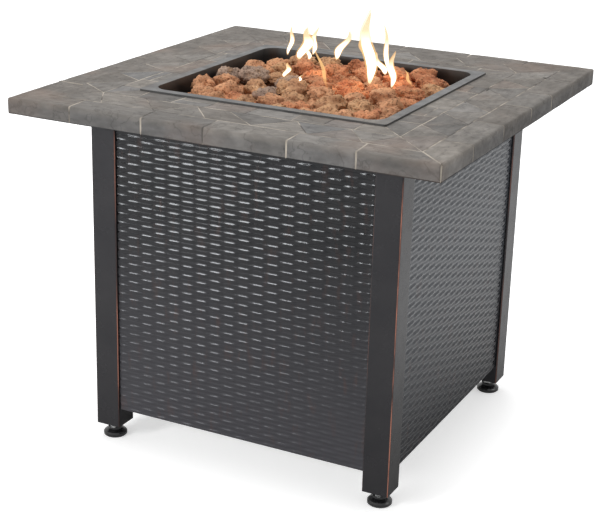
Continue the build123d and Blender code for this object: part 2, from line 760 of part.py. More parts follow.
def stone_solid(rings):
    """Closes the rings of a stone with flat facets."""
    facets = [Face(Wire.make_polygon(rings[0])), Face(Wire.make_polygon(rings[-1]))]
    for lower, upper in zip(rings, rings[1:]):
        for k in range(6):
            after = (k + 1) % 6
            facets.append(Face(Wire.make_polygon([lower[k], lower[after], upper[k]])))
            facets.append(Face(Wire.make_polygon([upper[k], lower[after], upper[after]])))
    return Solid(Shell(facets))


rng = random.Random(7)
stone_pitch = 2 * stone_radius + 2 * slip
stone_limit = bowl_inner / 2 - stone_radius - 1
column_gaps = int(2 * stone_limit // stone_pitch)
column_step = 2 * stone_limit / column_gaps
row_least = sqrt(stone_pitch**2 - column_step**2 / 4)
row_gaps = int(2 * stone_limit // row_least)
row_step = 2 * stone_limit / row_gaps
stone_tops = []
stones = []
for row in range(row_gaps + 1):
    for column in range(column_gaps + 1 - row % 2):
        x = -stone_limit + column_step * (column + 0.5 * (row % 2))
        y = -stone_limit + row_step * row
        if hypot(x, y) > 1.3 * stone_limit:
            continue
        off_ring = abs(hypot(x, y) - ring_radius)
        radius = stone_radius
        bottom = bowl_floor + slip
        if off_ring < 0.66 * stone_radius:
            bottom = ring_z + ring_tube + slip
        elif off_ring < stone_radius + ring_tube + slip:
            radius = off_ring - ring_tube - slip
        radius = min(radius, hypot(x - electrode_x, y - electrode_y) - 6.0 - slip)
        if radius < stone_radius * 0.45:
            continue
        heap = 10.0 * (1 - (hypot(x, y) / (bowl_inner / 2)) ** 2) - 8.0
        top = min(table_height + heap + rng.uniform(-6, 6), bottom + 3.6 * radius)
        rings = stone_rings(x, y, bottom, top, radius, rng)
        stones.append(stone_solid(rings))
        stone_tops.append((x, y, top))
with BuildPart() as lava_rocks:
    add(stones)
save(lava_rocks.part, "lava_rocks")

# Flames: place aimed at, lean of the tip, height of the tip over the table, widest radius
flame_list = [
    (91, 45, -18, -8, 130, 13),
    (61, 91, 13, 7, 96, 6),
    (121, 0, 14, 7, 69, 9),
    (0, 91, 8, 4, 77, 8),
    (-91, 45, 12, 6, 83, 10),
    (-61, 91, 4, 2, 78, 9),
    (30, -46, -15, -7, 71, 4),
    (-61, 0, -6, -3, 27, 5),
    (-30, -46, 8, 4, 18, 4),
    (152, 46, -10, -5, 31, 4),
]
free_tops = list(stone_tops)
with BuildPart() as flames:
    for aim_x, aim_y, lean_x, lean_y, tip, widest in flame_list:
        spot = min(free_tops, key=lambda top: hypot(top[0] - aim_x, top[1] - aim_y))
        free_tops.remove(spot)
        foot = Vector(spot[0], spot[1], spot[2] + slip)
        peak = Vector(spot[0] + lean_x, spot[1] + lean_y, table_height + tip)
        for share, reach in ((0.0, 0.3), (0.25, 1.0), (0.65, 0.5), (1.0, 0.1)):
            with BuildSketch(Plane(foot + (peak - foot) * share)):
                Circle(widest * reach)
        loft()
save(flames.part, "flames")

# Rear door
door_left = -leg_inner + door_gap
door_right = leg_inner - door_gap
door_width = door_right - door_left
door_top = control_bottom - door_head_gap
pull_inset = 40.0
pull_x = door_left + pull_inset
pull_drop = 120.0
pull_z = door_top - pull_drop
pull_radius = 4.0
with BuildPart() as door_panel:
    add(build_tray("rear", door_width, 0, panel_bottom, door_top))
    cut_holes(Plane.XY.offset(panel_bottom), [(pivot_x, pivot_y)], pin_radius + run, sheet + 1)
    cut_holes(Plane.XY.offset(door_top), [(pivot_x, pivot_y)], pin_radius + run, sheet + 1)
    cut_holes(control_plane, [(pull_x, pull_z)], shank + ease, sheet + 1)
save(door_panel.part, "door_panel")

pin_reach = 5.0
with BuildPart() as door_pivot_pins:
    screw(Plane((pivot_x, pivot_y, panel_bottom + sheet)), sheet + pin_reach, pin_radius, pin_head, 4.0)
    screw(
        Plane((pivot_x, pivot_y, door_top - sheet), z_dir=(0, 0, -1)),
        sheet + door_head_gap + pin_reach,
        pin_radius,
        pin_head,
        4.0,
    )
save(door_pivot_pins.part, "door_pivot_pins")

tab_top = panel_bottom - 0.5
tab_thickness = 3.0
with BuildPart() as hinge_bracket:
    with BuildSketch(Plane.XY.offset(tab_top)):
        with Locations((leg_inner - 12, pivot_y - 2)):
            Rectangle(24, 18)
        with Locations((pivot_x, pivot_y)):
            Circle(pin_radius + run, mode=Mode.SUBTRACT)
    extrude(amount=-tab_thickness)
    with BuildSketch(Plane.XY.offset(tab_top)):
        with Locations((leg_inner - tab_thickness / 2, pivot_y - 2)):
            Rectangle(tab_thickness, 18)
    extrude(amount=-26)
save(hinge_bracket.part, "hinge_bracket")

with BuildPart() as door_pull:
    with BuildSketch(Plane((pull_x, panel_face, pull_z), x_dir=(1, 0, 0), z_dir=(0, 0, 1))):
        Polygon((0, 0), (8, 0), (6, 3), (5, 10), (11, 15), (12, 19), (10, 23), (0, 24), align=None)
    revolve(axis=Axis((pull_x, panel_face, pull_z), (0, 1, 0)))
    rod(Plane((pull_x, panel_face, pull_z), z_dir=(0, 1, 0)), shank + run, 14, mode=Mode.SUBTRACT)
save(door_pull.part, "door_pull")

with BuildPart() as door_pull_screw:
    screw(Plane((pull_x, panel_inner, pull_z), z_dir=(0, -1, 0)), sheet + 12)
save(door_pull_screw.part, "door_pull_screw")

catch_z = (panel_bottom + door_top) / 2
catch_height = 40.0
strike_x = door_left + sheet
strike_wall = 1.2
strike_width = 14.0
with BuildPart() as door_strike:
    with BuildSketch(Plane.XY.offset(catch_z - catch_height / 2)):
        with Locations((strike_x + strike_wall / 2, panel_back + 5)):
            Rectangle(strike_wall, 10)
        with Locations((strike_x + strike_width / 2, panel_back + strike_wall / 2)):
            Rectangle(strike_width, strike_wall)
    extrude(amount=catch_height)
save(door_strike.part, "door_strike")

catch_depth = 16.0
with BuildPart() as magnet_catch:
    with BuildSketch(Plane.XY.offset(catch_z - catch_height / 2)):
        with Locations((-leg_inner + 8, panel_back - slip - catch_depth / 2)):
            Rectangle(16, catch_depth)
    extrude(amount=catch_height)
save(magnet_catch.part, "magnet_catch")
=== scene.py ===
# %% [markdown]
# # Dressing a gas fire table
# The object is a square outdoor table with a fire bowl in its top: a slate-look mantel, a steel bowl of lava
# rocks with flames, a black cabinet with basket-weave panels, four legs and four glides.
# The construction model gives every piece its place. Here each visible piece gets its real surface.

# %% Open the frame
import json
import math
import random

import bmesh
import bpy
from mathutils import Matrix, Vector


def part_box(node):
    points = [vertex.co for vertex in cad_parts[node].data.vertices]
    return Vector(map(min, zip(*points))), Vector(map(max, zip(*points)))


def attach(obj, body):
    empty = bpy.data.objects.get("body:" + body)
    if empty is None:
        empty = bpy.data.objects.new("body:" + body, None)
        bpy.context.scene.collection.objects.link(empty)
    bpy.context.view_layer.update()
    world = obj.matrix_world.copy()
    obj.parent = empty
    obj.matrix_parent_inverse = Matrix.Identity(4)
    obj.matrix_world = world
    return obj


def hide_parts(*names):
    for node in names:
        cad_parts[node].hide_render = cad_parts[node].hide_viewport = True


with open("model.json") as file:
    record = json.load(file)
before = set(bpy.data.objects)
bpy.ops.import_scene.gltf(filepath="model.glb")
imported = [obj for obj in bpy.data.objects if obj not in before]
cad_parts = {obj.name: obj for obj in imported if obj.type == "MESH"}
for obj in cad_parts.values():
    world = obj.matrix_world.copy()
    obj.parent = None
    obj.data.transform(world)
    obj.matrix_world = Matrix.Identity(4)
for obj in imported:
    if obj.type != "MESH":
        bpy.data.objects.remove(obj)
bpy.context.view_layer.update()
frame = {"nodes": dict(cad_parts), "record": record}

nodes = frame["nodes"]

# %% [markdown]
# ## Camera
# The picture was taken from a little above the table, to the right of its front, with a long lens.
# The camera's place and turn come from fitting straight edges of the table, so they are written as three
# directions: right, down and ahead. A camera looks along its own -Z, so ahead and down change sign.

# %% Camera
eye = Vector((1.0948417, -2.2673731, 1.1919330))
right = Vector((0.8917793, 0.4517333, 0.0258215))
down = Vector((0.1716350, -0.2849233, -0.9430589))
ahead = Vector((-0.4186540, 0.8454323, -0.3316219))
bpy.ops.object.camera_add(location=eye)
camera = bpy.context.object
camera.name = "studio_camera"
camera.data.sensor_width = 36
camera.data.lens = 88.334
camera.rotation_euler = Matrix((right, -down, -ahead)).transposed().to_euler()
bpy.context.scene.camera = camera
bpy.context.scene.view_settings.view_transform = "Standard"
print("camera lens", round(camera.data.lens, 1), "mm, from", [round(v, 2) for v in eye])

# %% [markdown]
# ## Floor, world and lamps
# A product picture has a white sweep and big soft lamps. The floor is a pale matt sheet that keeps the
# table's shadow; a little glow that only the camera and reflections see lifts it to white. The world does the same:
# a soft fill for the object, plain white behind it. The floor's glow is weaker near the table, which paints extra
# shade around its foot. The key lamp stands to the left of the camera, a small low one gives the lower strands of
# the weave their glints, and two more fill in from the right and from above.

# %% Helper for rays that look at the stage
def looked_at(tree, mirrored=1.0):
    """A factor of 1 for rays from the camera, and another for rays from reflections and through glass."""
    path = tree.nodes.new("ShaderNodeLightPath")
    seen = path.outputs["Is Camera Ray"]
    for ray in ("Is Glossy Ray", "Is Transmission Ray"):
        share = tree.nodes.new("ShaderNodeMath")
        share.operation = "MULTIPLY_ADD"
        share.inputs[1].default_value = mirrored
        tree.links.new(path.outputs[ray], share.inputs[0])
        tree.links.new(seen, share.inputs[2])
        seen = share.outputs[0]
    return seen


# %% Floor
floor_in_mirrors = 0.36
bpy.ops.mesh.primitive_circle_add(vertices=96, radius=9, fill_type="NGON", location=(0, 0, 0))
floor = bpy.context.object
floor.name = "floor_sheet"
sheet = bpy.data.materials.new("floor_paper")
sheet.use_nodes = True
paper = sheet.node_tree
paper.nodes.remove(paper.nodes["Principled BSDF"])
matt = paper.nodes.new("ShaderNodeBsdfDiffuse")
matt.inputs["Color"].default_value = (0.86, 0.86, 0.86, 1)
glow = paper.nodes.new("ShaderNodeEmission")
spot = paper.nodes.new("ShaderNodeTexCoord")
flat = paper.nodes.new("ShaderNodeVectorMath")
flat.operation = "ABSOLUTE"
parts = paper.nodes.new("ShaderNodeSeparateXYZ")
away = paper.nodes.new("ShaderNodeMath")
away.operation = "MAXIMUM"
# The glow is weaker near the table: painted shade around its foot, on top of the real shadow.
glow_with_painted_shade = paper.nodes.new("ShaderNodeMapRange")
for name, value in (("From Min", 0.27), ("From Max", 0.42), ("To Min", 0.48), ("To Max", 0.84)):
    glow_with_painted_shade.inputs[name].default_value = value
lift = paper.nodes.new("ShaderNodeMath")
lift.operation = "MULTIPLY"
both = paper.nodes.new("ShaderNodeAddShader")
paper.links.new(spot.outputs["Object"], flat.inputs[0])
paper.links.new(flat.outputs["Vector"], parts.inputs[0])
paper.links.new(parts.outputs["X"], away.inputs[0])
paper.links.new(parts.outputs["Y"], away.inputs[1])
paper.links.new(away.outputs[0], glow_with_painted_shade.inputs["Value"])
paper.links.new(glow_with_painted_shade.outputs["Result"], lift.inputs[1])
paper.links.new(looked_at(paper, floor_in_mirrors), lift.inputs[0])
paper.links.new(lift.outputs[0], glow.inputs["Strength"])
paper.links.new(matt.outputs[0], both.inputs[0])
paper.links.new(glow.outputs[0], both.inputs[1])
paper.links.new(both.outputs[0], paper.nodes["Material Output"].inputs["Surface"])
floor.data.materials.append(sheet)
print("floor:", round(floor.dimensions.x), "m across")

# %% World
world = bpy.data.worlds.new("white_room")
bpy.context.scene.world = world
world.use_nodes = True
room = world.node_tree
fill = room.nodes["Background"]
fill.inputs["Color"].default_value = (1, 1, 1, 1)
fill.inputs["Strength"].default_value = 0.5
white = room.nodes.new("ShaderNodeBackground")
white.inputs["Color"].default_value = (1, 1, 1, 1)
white.inputs["Strength"].default_value = 1.0
either = room.nodes.new("ShaderNodeMixShader")
room.links.new(looked_at(room), either.inputs["Fac"])
room.links.new(fill.outputs[0], either.inputs[1])
room.links.new(white.outputs[0], either.inputs[2])
room.links.new(either.outputs[0], room.nodes["World Output"].inputs["Surface"])
print("world:", world.name)


# %% Lamps
def softbox(name, place, aim, size, power):
    """A square lamp that points at a spot."""
    bpy.ops.object.light_add(type="AREA", location=place)
    lamp = bpy.context.object
    lamp.name = name
    lamp.data.size = size
    lamp.data.energy = power
    lamp.rotation_euler = (Vector(aim) - Vector(place)).to_track_quat("-Z", "Y").to_euler()


softbox("key_softbox", (-1.5, -2.8, 1.35), (0, -0.28, 0.4), 0.75, 46)
softbox("low_softbox", (-1.45, -2.75, 0.45), (0, -0.28, 0.2), 0.28, 2.8)
softbox("side_softbox", (2.6, 0.6, 2.2), (0, 0, 0.4), 1.4, 10)
softbox("top_softbox", (-0.5, 0.6, 3.0), (0, 0, 0.5), 1.8, 38)

# %% [markdown]
# ## Modelling helpers
# An operator works on whatever is selected, so each step first says what that is. These helpers select one piece,
# open it for editing and leave it again, pick its faces, edges or points by a test, finish it with a modifier, put
# its place into its mesh, join it with others and count its triangles.

# %% Helpers for selecting
def only(piece):
    """Selects this piece and nothing else."""
    bpy.ops.object.select_all(action="DESELECT")
    piece.select_set(True)
    bpy.context.view_layer.objects.active = piece


def edit(piece, kind="FACE"):
    """Opens a piece in edit mode with nothing selected."""
    only(piece)
    bpy.ops.object.mode_set(mode="EDIT")
    bpy.ops.mesh.select_mode(type=kind)
    bpy.ops.mesh.select_all(action="DESELECT")


def leave():
    """Goes back to object mode."""
    bpy.ops.object.mode_set(mode="OBJECT")


def pick(piece, faces=None, edges=None, points=None):
    """Selects the faces, edges or points that pass a test, and says how many there are."""
    bpy.ops.mesh.select_all(action="DESELECT")
    mesh = bmesh.from_edit_mesh(piece.data)
    mesh.normal_update()
    chosen = [f for f in mesh.faces if faces(f)] if faces else []
    chosen += [e for e in mesh.edges if edges(e)] if edges else []
    chosen += [p for p in mesh.verts if points(p)] if points else []
    for item in chosen:
        item.select_set(True)
    bmesh.update_edit_mesh(piece.data)
    return len(chosen)


def finish_with(piece, kind, **settings):
    """Adds a modifier to a piece, sets it and applies it."""
    only(piece)
    modifier = piece.modifiers.new(kind.lower(), kind)
    for name, value in settings.items():
        setattr(modifier, name, value)
    bpy.ops.object.modifier_apply(modifier=modifier.name)


def settle(piece):
    """Puts a piece's place, turn and size into its mesh."""
    only(piece)
    bpy.ops.object.transform_apply(location=True, rotation=True, scale=True)


def join(group, name):
    """Makes one named piece out of several."""
    only(group[0])
    for piece in group[1:]:
        piece.select_set(True)
    bpy.ops.object.join()
    joined = bpy.context.object
    joined.name = name
    return joined


def triangles(piece):
    """Counts the triangles of a piece."""
    piece.data.calc_loop_triangles()
    return len(piece.data.loop_triangles)


# %% [markdown]
# ## Mantel: the slab
# The real mantel is one casting that looks like a slate mosaic. It could be a box with a picture on it, but
# then the joints would have no depth and the edge no chips. So a slab a little smaller than the mantel is cut
# into stones with planes, as a mason lays them out, and each stone is then raised out of the grout.

# %% Slab with rounded corners and arris
slab_lo, slab_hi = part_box("mantel")
stone_rise = 0.0004
corner_round = 0.004
arris_round = 0.0032
near_top = 0.004
bpy.ops.mesh.primitive_cube_add(size=1, location=(slab_lo + slab_hi) / 2)
mantel = bpy.context.object
mantel.name = "mantel_mosaic"
mantel.scale = (slab_hi - slab_lo) - Vector((2 * stone_rise, 2 * stone_rise, stone_rise))
mantel.location.z -= stone_rise / 2
settle(mantel)
edit(mantel, "EDGE")
pick(mantel, edges=lambda e: abs(e.verts[0].co.z - e.verts[1].co.z) > 0.01)
bpy.ops.mesh.bevel(offset=corner_round, segments=3, affect="EDGES")
pick(mantel, edges=lambda e: min(p.co.z for p in e.verts) > slab_hi.z - near_top)
bpy.ops.mesh.bevel(offset=arris_round, segments=3, affect="EDGES")
print("slab:", len(bmesh.from_edit_mesh(mantel.data).faces), "faces")

# %% [markdown]
# ## Mantel: laying out the stones
# Four mitres divide the top into sides. On each side there are three courses: long border stones that turn down
# over the edge, a zigzag of triangles, and short ledge stones along the bowl. Each cut is marked as a seam. At
# three corners one border stone turns round the corner, so the mitre is cleared there again. Course lines are in
# metres from the middle of the table, joints in millimetres along their side.

# %% Course lines and joints
border_line = 0.330
ledge_line = 0.268
opening = 0.214
border_middle = 0.36
ledge_middle = 0.24
ledge_split = 0.247
split_span = 0.02
sides = {
    "front": Vector((0, -1, 0)),
    "right": Vector((1, 0, 0)),
    "back": Vector((0, 1, 0)),
    "left": Vector((-1, 0, 0)),
}
border_joints = {
    "front": (-259, -125, -12, 131, 245),
    "right": (-253, -115, 20, 128, 251),
    "back": (-255, -140, -5, 120, 250),
    "left": (-284, -131, -6, 110, 237),
}
zigzag = {
    "front": ((-268, -231), (-184, -231), (-184, -131), (-87, -131), (-87, -37), (-28, 44), (94, 44), (94, 141),
              (187, 141), (187, 234), (268, 234)),
    "right": ((-268, -225), (-184, -225), (-184, -141), (-90, -141), (-90, -47), (6, -47), (6, 56), (116, 56),
              (116, 160), (200, 160), (200, 252), (268, 252)),
    "back": ((-268, -222), (-176, -222), (-176, -128), (-82, -128), (-82, -30), (14, -30), (14, 66), (108, 66),
             (108, 156), (196, 156), (196, 240), (268, 240)),
    "left": ((-268, -236), (-190, -236), (-190, -150), (-110, -150), (-110, -52), (-20, -52), (-20, 40), (70, 40),
             (70, 128), (160, 128), (160, 226), (268, 226)),
}
ledge_joints = {
    "front": (-204, -135, -72, 2, 81, 137, 190),
    "right": (-180, -128, -64, 5, 70, 118, 196),
    "back": (-198, -120, -66, 10, 88, 140, 205),
    "left": (-190, -126, -50, 24, 76, 150, 208),
}
print("joints:", [sum(map(len, course.values())) for course in (border_joints, zigzag, ledge_joints)])


# %% Cutting helpers
def side_of(n, low=0.0, high=1.0):
    """A test for the upper and outer faces of one side, between two distances from the middle."""
    along = Vector((-n.y, n.x, 0))

    def test(f):
        c = f.calc_center_median()
        return f.normal.z > -0.5 and c.dot(n) >= abs(c.dot(along)) - 1e-5 and low < c.dot(n) < high

    return test


def joint(piece, faces, point, normal):
    """Cuts the faces that pass a test along a plane, and marks the cut."""
    pick(piece, faces=faces)
    bpy.ops.mesh.bisect(plane_co=point, plane_no=normal)
    bpy.ops.mesh.mark_seam()


# %% Mitres and courses
for slope in (1, -1):
    joint(mantel, lambda f: True, (0, 0, 0), Vector((1, slope, 0)).normalized())
for n in sides.values():
    for line in (border_line, ledge_line, opening):
        joint(mantel, side_of(n), n * line, n)


def turns_corner(p):
    """A test for points of a mitre where one border stone goes round the corner."""
    on_mitre = abs(abs(p.co.x) - abs(p.co.y)) < 1e-4
    return on_mitre and abs(p.co.x) > border_line - 1e-4 and not (p.co.x > 0 > p.co.y)


bpy.ops.mesh.select_mode(type="EDGE")
cleared = pick(mantel, edges=lambda e: e.seam and all(turns_corner(p) for p in e.verts))
print("mitre edges cleared:", cleared)
bpy.ops.mesh.mark_seam(clear=True)
bpy.ops.mesh.select_mode(type="FACE")

# %% Joints between stones
random.seed(4)
for side, n in sides.items():
    along = Vector((-n.y, n.x, 0))
    for spot in border_joints[side]:
        slant = random.uniform(-0.1, 0.1)
        point = along * spot / 1000 + n * border_middle
        joint(mantel, side_of(n, border_line), point, (along + n * slant).normalized())
    for inner, outer in zigzag[side]:
        start = along * inner / 1000 + n * ledge_line
        line = along * outer / 1000 + n * border_line - start
        joint(mantel, side_of(n, ledge_line, border_line), start, Vector((-line.y, line.x, 0)).normalized())
    on_ledge = side_of(n, opening, ledge_line)
    for spot in ledge_joints[side]:
        slant = random.uniform(-0.12, 0.12)
        joint(mantel, on_ledge, along * spot / 1000 + n * ledge_middle, (along + n * slant).normalized())
    for first, second in (ledge_joints[side][1:3], ledge_joints[side][4:6]):
        middle = along * (first + second) / 2000
        between = lambda f: on_ledge(f) and abs((f.calc_center_median() - middle).dot(along)) < split_span
        slant = random.uniform(-0.06, 0.06)
        joint(mantel, between, n * ledge_split, (n + along * slant).normalized())
print("mantel with its joints:", len(bmesh.from_edit_mesh(mantel.data).faces), "faces")

# %% Opening for the bowl and pocket under the rim
pocket_outer = 0.365
pocket_inner = 0.294
pocket_depth = 0.014
slack = 0.004


def off_middle(spot):
    """How far a spot is from the middle of the table, along X or Y."""
    return max(abs(spot.x), abs(spot.y))


def reach(f):
    """How far the middle of a face is from the middle of the table."""
    return off_middle(f.calc_center_median())


def over_pocket(f):
    """A test for the lower faces between the two lines of the pocket."""
    return f.normal.z < -0.5 and all(
        pocket_inner - slack < off_middle(p.co) < pocket_outer + slack for p in f.verts)


for n in sides.values():
    for line in (pocket_outer, pocket_inner, opening):
        pick(mantel, faces=lambda f: f.normal.z < -0.5 and f.calc_center_median().dot(n) > 0)
        bpy.ops.mesh.bisect(plane_co=n * line, plane_no=n)
pick(mantel, faces=lambda f: abs(f.normal.z) > 0.5 and reach(f) < opening)
bpy.ops.mesh.delete(type="FACE")
pick(mantel, edges=lambda e: len(e.link_faces) == 1)
bpy.ops.mesh.bridge_edge_loops()
pick(mantel, faces=over_pocket)
bpy.ops.mesh.extrude_region_move(TRANSFORM_OT_translate={"value": (0, 0, pocket_depth)})
print("mantel laid out:", len(bmesh.from_edit_mesh(mantel.data).faces), "faces")

# %% [markdown]
# ## Mantel: raising the stones
# The seams are split, so every stone is an island. One inset leaves a strip of grout, the next lifts the stone,
# and the last rounds its shoulder. Each island gets a number, for its own shade, and a small tilt of its own.

# %% Stones out of the grout
grout_width = 0.0016
shoulder_width = 0.0006
crown_width = 0.0024
wall_line = 0.37
painted_shadow_band = 0.003
inset_options = {"use_boundary": True, "use_even_offset": False}


def outward(f):
    """A test for faces of the top and the outer walls."""
    return f.normal.z > 0.1 or (abs(f.normal.z) < 0.1 and reach(f) > wall_line)


pick(mantel, edges=lambda e: e.seam)
bpy.ops.mesh.edge_split(type="EDGE")
mesh = bmesh.from_edit_mesh(mantel.data)
shade_layer = mesh.faces.layers.float.new("stone_shade")
grout_layer = mesh.faces.layers.float.new("grout")
number_layer = mesh.faces.layers.int.new("stone_number")
stones = 0
for face in mesh.faces:
    if outward(face) and face[number_layer] == 0:
        stones += 1
        shade = random.uniform(0.1, 1.0)
        group = [face]
        while group:
            stone = group.pop()
            stone[number_layer] = stones
            stone[shade_layer] = shade
            group += [g for e in stone.edges for g in e.link_faces if g[number_layer] == 0 and outward(g)]
bmesh.update_edit_mesh(mantel.data)
bpy.ops.mesh.select_mode(type="FACE")
pick(mantel, faces=lambda f: f[number_layer] > 0)
bpy.ops.mesh.inset(thickness=grout_width, depth=0.0, **inset_options)
mesh = bmesh.from_edit_mesh(mantel.data)
# A band along the bottom edge gets no grout and stone shade 0, the near-black colour: a painted shadow line under the
# slab.
for face in mesh.faces:
    under = face.calc_center_median().z < slab_lo.z + painted_shadow_band
    face[grout_layer] = 1.0 if face[number_layer] > 0 and not face.select and not under else 0.0
    face[shade_layer] = 0.0 if under else face[shade_layer]
bpy.ops.mesh.inset(thickness=shoulder_width, depth=0.7 * stone_rise, **inset_options)
bpy.ops.mesh.inset(thickness=crown_width, depth=0.3 * stone_rise, **inset_options)
print("stones:", stones)

# %% A small tilt for each stone
most_sink = 0.0002
most_tilt = 0.003
mesh = bmesh.from_edit_mesh(mantel.data)
crown_layer = mesh.faces.layers.int.new("crown")
for face in mesh.faces:
    face[crown_layer] = int(face.select)
for number in range(1, stones + 1):
    pick(mantel, faces=lambda f: f[crown_layer] == 1 and f[number_layer] == number)
    middle = [f.calc_center_median() for f in bmesh.from_edit_mesh(mantel.data).faces if f.select]
    if middle:
        centre = sum(middle, Vector()) / len(middle)
        bpy.ops.transform.translate(value=(0, 0, -random.uniform(0.0, most_sink)))
        tilt = random.uniform(-most_tilt, most_tilt)
        bpy.ops.transform.rotate(value=tilt, orient_axis=random.choice("XY"), center_override=centre)
bpy.ops.mesh.select_all(action="SELECT")
bpy.ops.mesh.remove_doubles(threshold=0.00002)
print("stones set:", len(bmesh.from_edit_mesh(mantel.data).faces), "faces")

# %% [markdown]
# ## Mantel: split faces
# Slate splits into low waves. The stones are sliced by a fine net of planes so that there are points to move,
# then two displacements move them: long waves that also reach the edge, and short split marks. What stands out past
# the casting's box is pressed flat, as the wear of use would do it.

# %% Net of cuts and waves
step = 0.008
net_shift = 0.0013
count = int(0.38 / step)
for axis in (Vector((1, 0, 0)), Vector((0, 1, 0))):
    for k in range(-count, count + 1):
        pick(mantel, faces=lambda f: f.normal.z > -0.5 and f[number_layer] > 0)
        bpy.ops.mesh.bisect(plane_co=axis * (k * step + net_shift), plane_no=axis)
for drop in (0.0135, 0.0205):
    pick(mantel, faces=lambda f: abs(f.normal.z) < 0.5 and f[number_layer] > 0)
    bpy.ops.mesh.bisect(plane_co=(0, 0, slab_hi.z - drop), plane_no=(0, 0, 1))
leave()
print("mantel with its net:", [round(v, 4) for v in mantel.dimensions])
for size, strength in ((0.055, 0.0008), (0.014, 0.0006)):
    cloud = bpy.data.textures.new("slate_waves", "CLOUDS")
    cloud.noise_scale = size
    cloud.noise_depth = 2
    finish_with(mantel, "DISPLACE", texture=cloud, texture_coords="LOCAL", strength=strength, mid_level=0.6)
edit(mantel, "VERT")
for i in range(3):
    for end, sign in ((slab_lo[i], -1), (slab_hi[i], 1)):
        if pick(mantel, points=lambda p: sign * (p.co[i] - end) > 0):
            squash = [int(k != i) for k in range(3)]
            plane = [end if k == i else 0 for k in range(3)]
            bpy.ops.transform.resize(value=squash, center_override=plane)
leave()
bpy.ops.object.shade_smooth_by_angle(angle=math.radians(38))
print("mantel:", triangles(mantel), "triangles", [round(v, 4) for v in mantel.dimensions])
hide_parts("mantel")
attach(mantel, "cabinet")

# %% [markdown]
# ## Weave panels
# The cabinet's panels are pressed steel sheets that look like a basket: flat strands that pass over one stake and
# under the next. It could be a bump, but the strands catch light along their crowns, so they are real. One strand
# unit, over and under once, is shaped point by point, then repeated along the row and up the sheet.

# %% One strand unit
stake = 0.0271
strand = 0.00805
emboss = 0.0019
dip = 0.42
bpy.ops.mesh.primitive_grid_add(x_subdivisions=12, y_subdivisions=4, size=1)
weave = bpy.context.object
weave.name = "weave_sheet"
weave.scale = (2 * stake, strand, 1)
weave.rotation_euler = (math.pi / 2, 0, 0)
settle(weave)
edit(weave, "VERT")
crown = {0: 0.9, 1: 0.95, 2: 1.0, 3: 0.1, 4: 0.0, 5: 0.0, 6: 0.0}
for row, hold in ((-1, 0.8), (0, 1.0), (1, 0.8)):
    for column in range(-6, 7):
        spot = Vector((column * stake / 6, 0, row * strand / 4))
        pick(weave, points=lambda p: abs(p.co.x - spot.x) < 1e-4 and abs(p.co.z - spot.z) < 1e-4)
        rise = emboss * hold * (dip + (1 - dip) * crown[abs(column)])
        bpy.ops.transform.translate(value=(0, -rise, 0))
leave()
print("strand unit:", len(weave.data.polygons), "faces")

# %% Rows and sheet
first_stake = -0.2621
panel_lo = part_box("front_panel")[0]
weave.location = (first_stake, panel_lo.y + emboss, panel_lo.z + 0.3 * strand)
settle(weave)
repeat = {
    "use_relative_offset": False,
    "use_constant_offset": True,
    "use_merge_vertices": True,
    "merge_threshold": 0.00005,
}
finish_with(weave, "ARRAY", count=10, constant_offset_displace=(2 * stake, 0, 0), **repeat)
finish_with(weave, "ARRAY", count=2, constant_offset_displace=(stake, 0, strand), **repeat)
finish_with(weave, "ARRAY", count=35, constant_offset_displace=(0, 0, 2 * strand), **repeat)
print("weave sheet:", len(weave.data.polygons), "faces")


# %% [markdown]
# A pressed sheet ends in a flat hem and a return that is folded back to the leg. So each panel is trimmed out of the
# weave with four planes, its border is flattened, drawn out as the hem and pulled back as the return, and a thickness
# of 1.2 mm is added on the inside.

# %% Panel from the sheet
hem = 0.001
border_rise = 0.0007
fold = 0.005
sheet_metal = 0.0012


def sorted_box(lo, hi, turn):
    """A box turned about the upright axis, as its lowest and highest corners."""
    spun = [Matrix.Rotation(turn, 3, "Z") @ corner for corner in (lo, hi)]
    low = Vector([min(a, b) for a, b in zip(*spun)])
    high = Vector([max(a, b) for a, b in zip(*spun)])
    return low, high


def weave_panel(name, node, turn):
    """Trims a panel to a node's width and height, folds its returns and turns it to its side."""
    lo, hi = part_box(node)
    lo, hi = sorted_box(lo, hi, -turn)
    middle = (lo + hi) / 2
    wide, tall = hi.x - lo.x, hi.z - lo.z
    rim = Vector((hem, 0, hem))
    only(weave)
    bpy.ops.object.duplicate(linked=False)
    panel = bpy.context.object
    panel.name = name
    edit(panel, "FACE")
    low_trims = [(lo + rim, (-1, 0, 0)), (lo + rim, (0, 0, -1))]
    high_trims = [(hi - rim, (1, 0, 0)), (hi - rim, (0, 0, 1))]
    for point, normal in low_trims + high_trims:
        bpy.ops.mesh.select_all(action="SELECT")
        bpy.ops.mesh.bisect(plane_co=point, plane_no=normal, clear_outer=True)
    bpy.ops.mesh.select_mode(type="EDGE")
    pick(panel, edges=lambda e: len(e.link_faces) == 1)
    bpy.ops.transform.resize(value=(1, 0, 1), center_override=(0, lo.y + border_rise, 0))
    bpy.ops.mesh.extrude_region_move(TRANSFORM_OT_translate={"value": (0, 0, 0)})
    grow = (wide / (wide - 2 * hem), 1, tall / (tall - 2 * hem))
    bpy.ops.transform.resize(value=grow, center_override=middle)
    bpy.ops.mesh.extrude_region_move(TRANSFORM_OT_translate={"value": (0, fold, 0)})
    bpy.ops.transform.resize(value=(1, 0, 1), center_override=(0, hi.y, 0))
    leave()
    finish_with(panel, "SOLIDIFY", thickness=sheet_metal, offset=-1)
    panel.rotation_euler = (0, 0, turn)
    settle(panel)
    only(panel)
    bpy.ops.object.shade_smooth_by_angle(angle=math.radians(55))
    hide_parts(node)
    print(name, triangles(panel), "triangles")
    return panel


panels = {
    "front_weave": weave_panel("front_weave", "front_panel", 0),
    "right_weave": weave_panel("right_weave", "right_panel", math.pi / 2),
    "left_weave": weave_panel("left_weave", "left_panel", -math.pi / 2),
    "door_weave": weave_panel("door_weave", "door_panel", math.pi),
}
bpy.data.objects.remove(weave)
for name, panel in panels.items():
    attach(panel, "door" if name == "door_weave" else "cabinet")
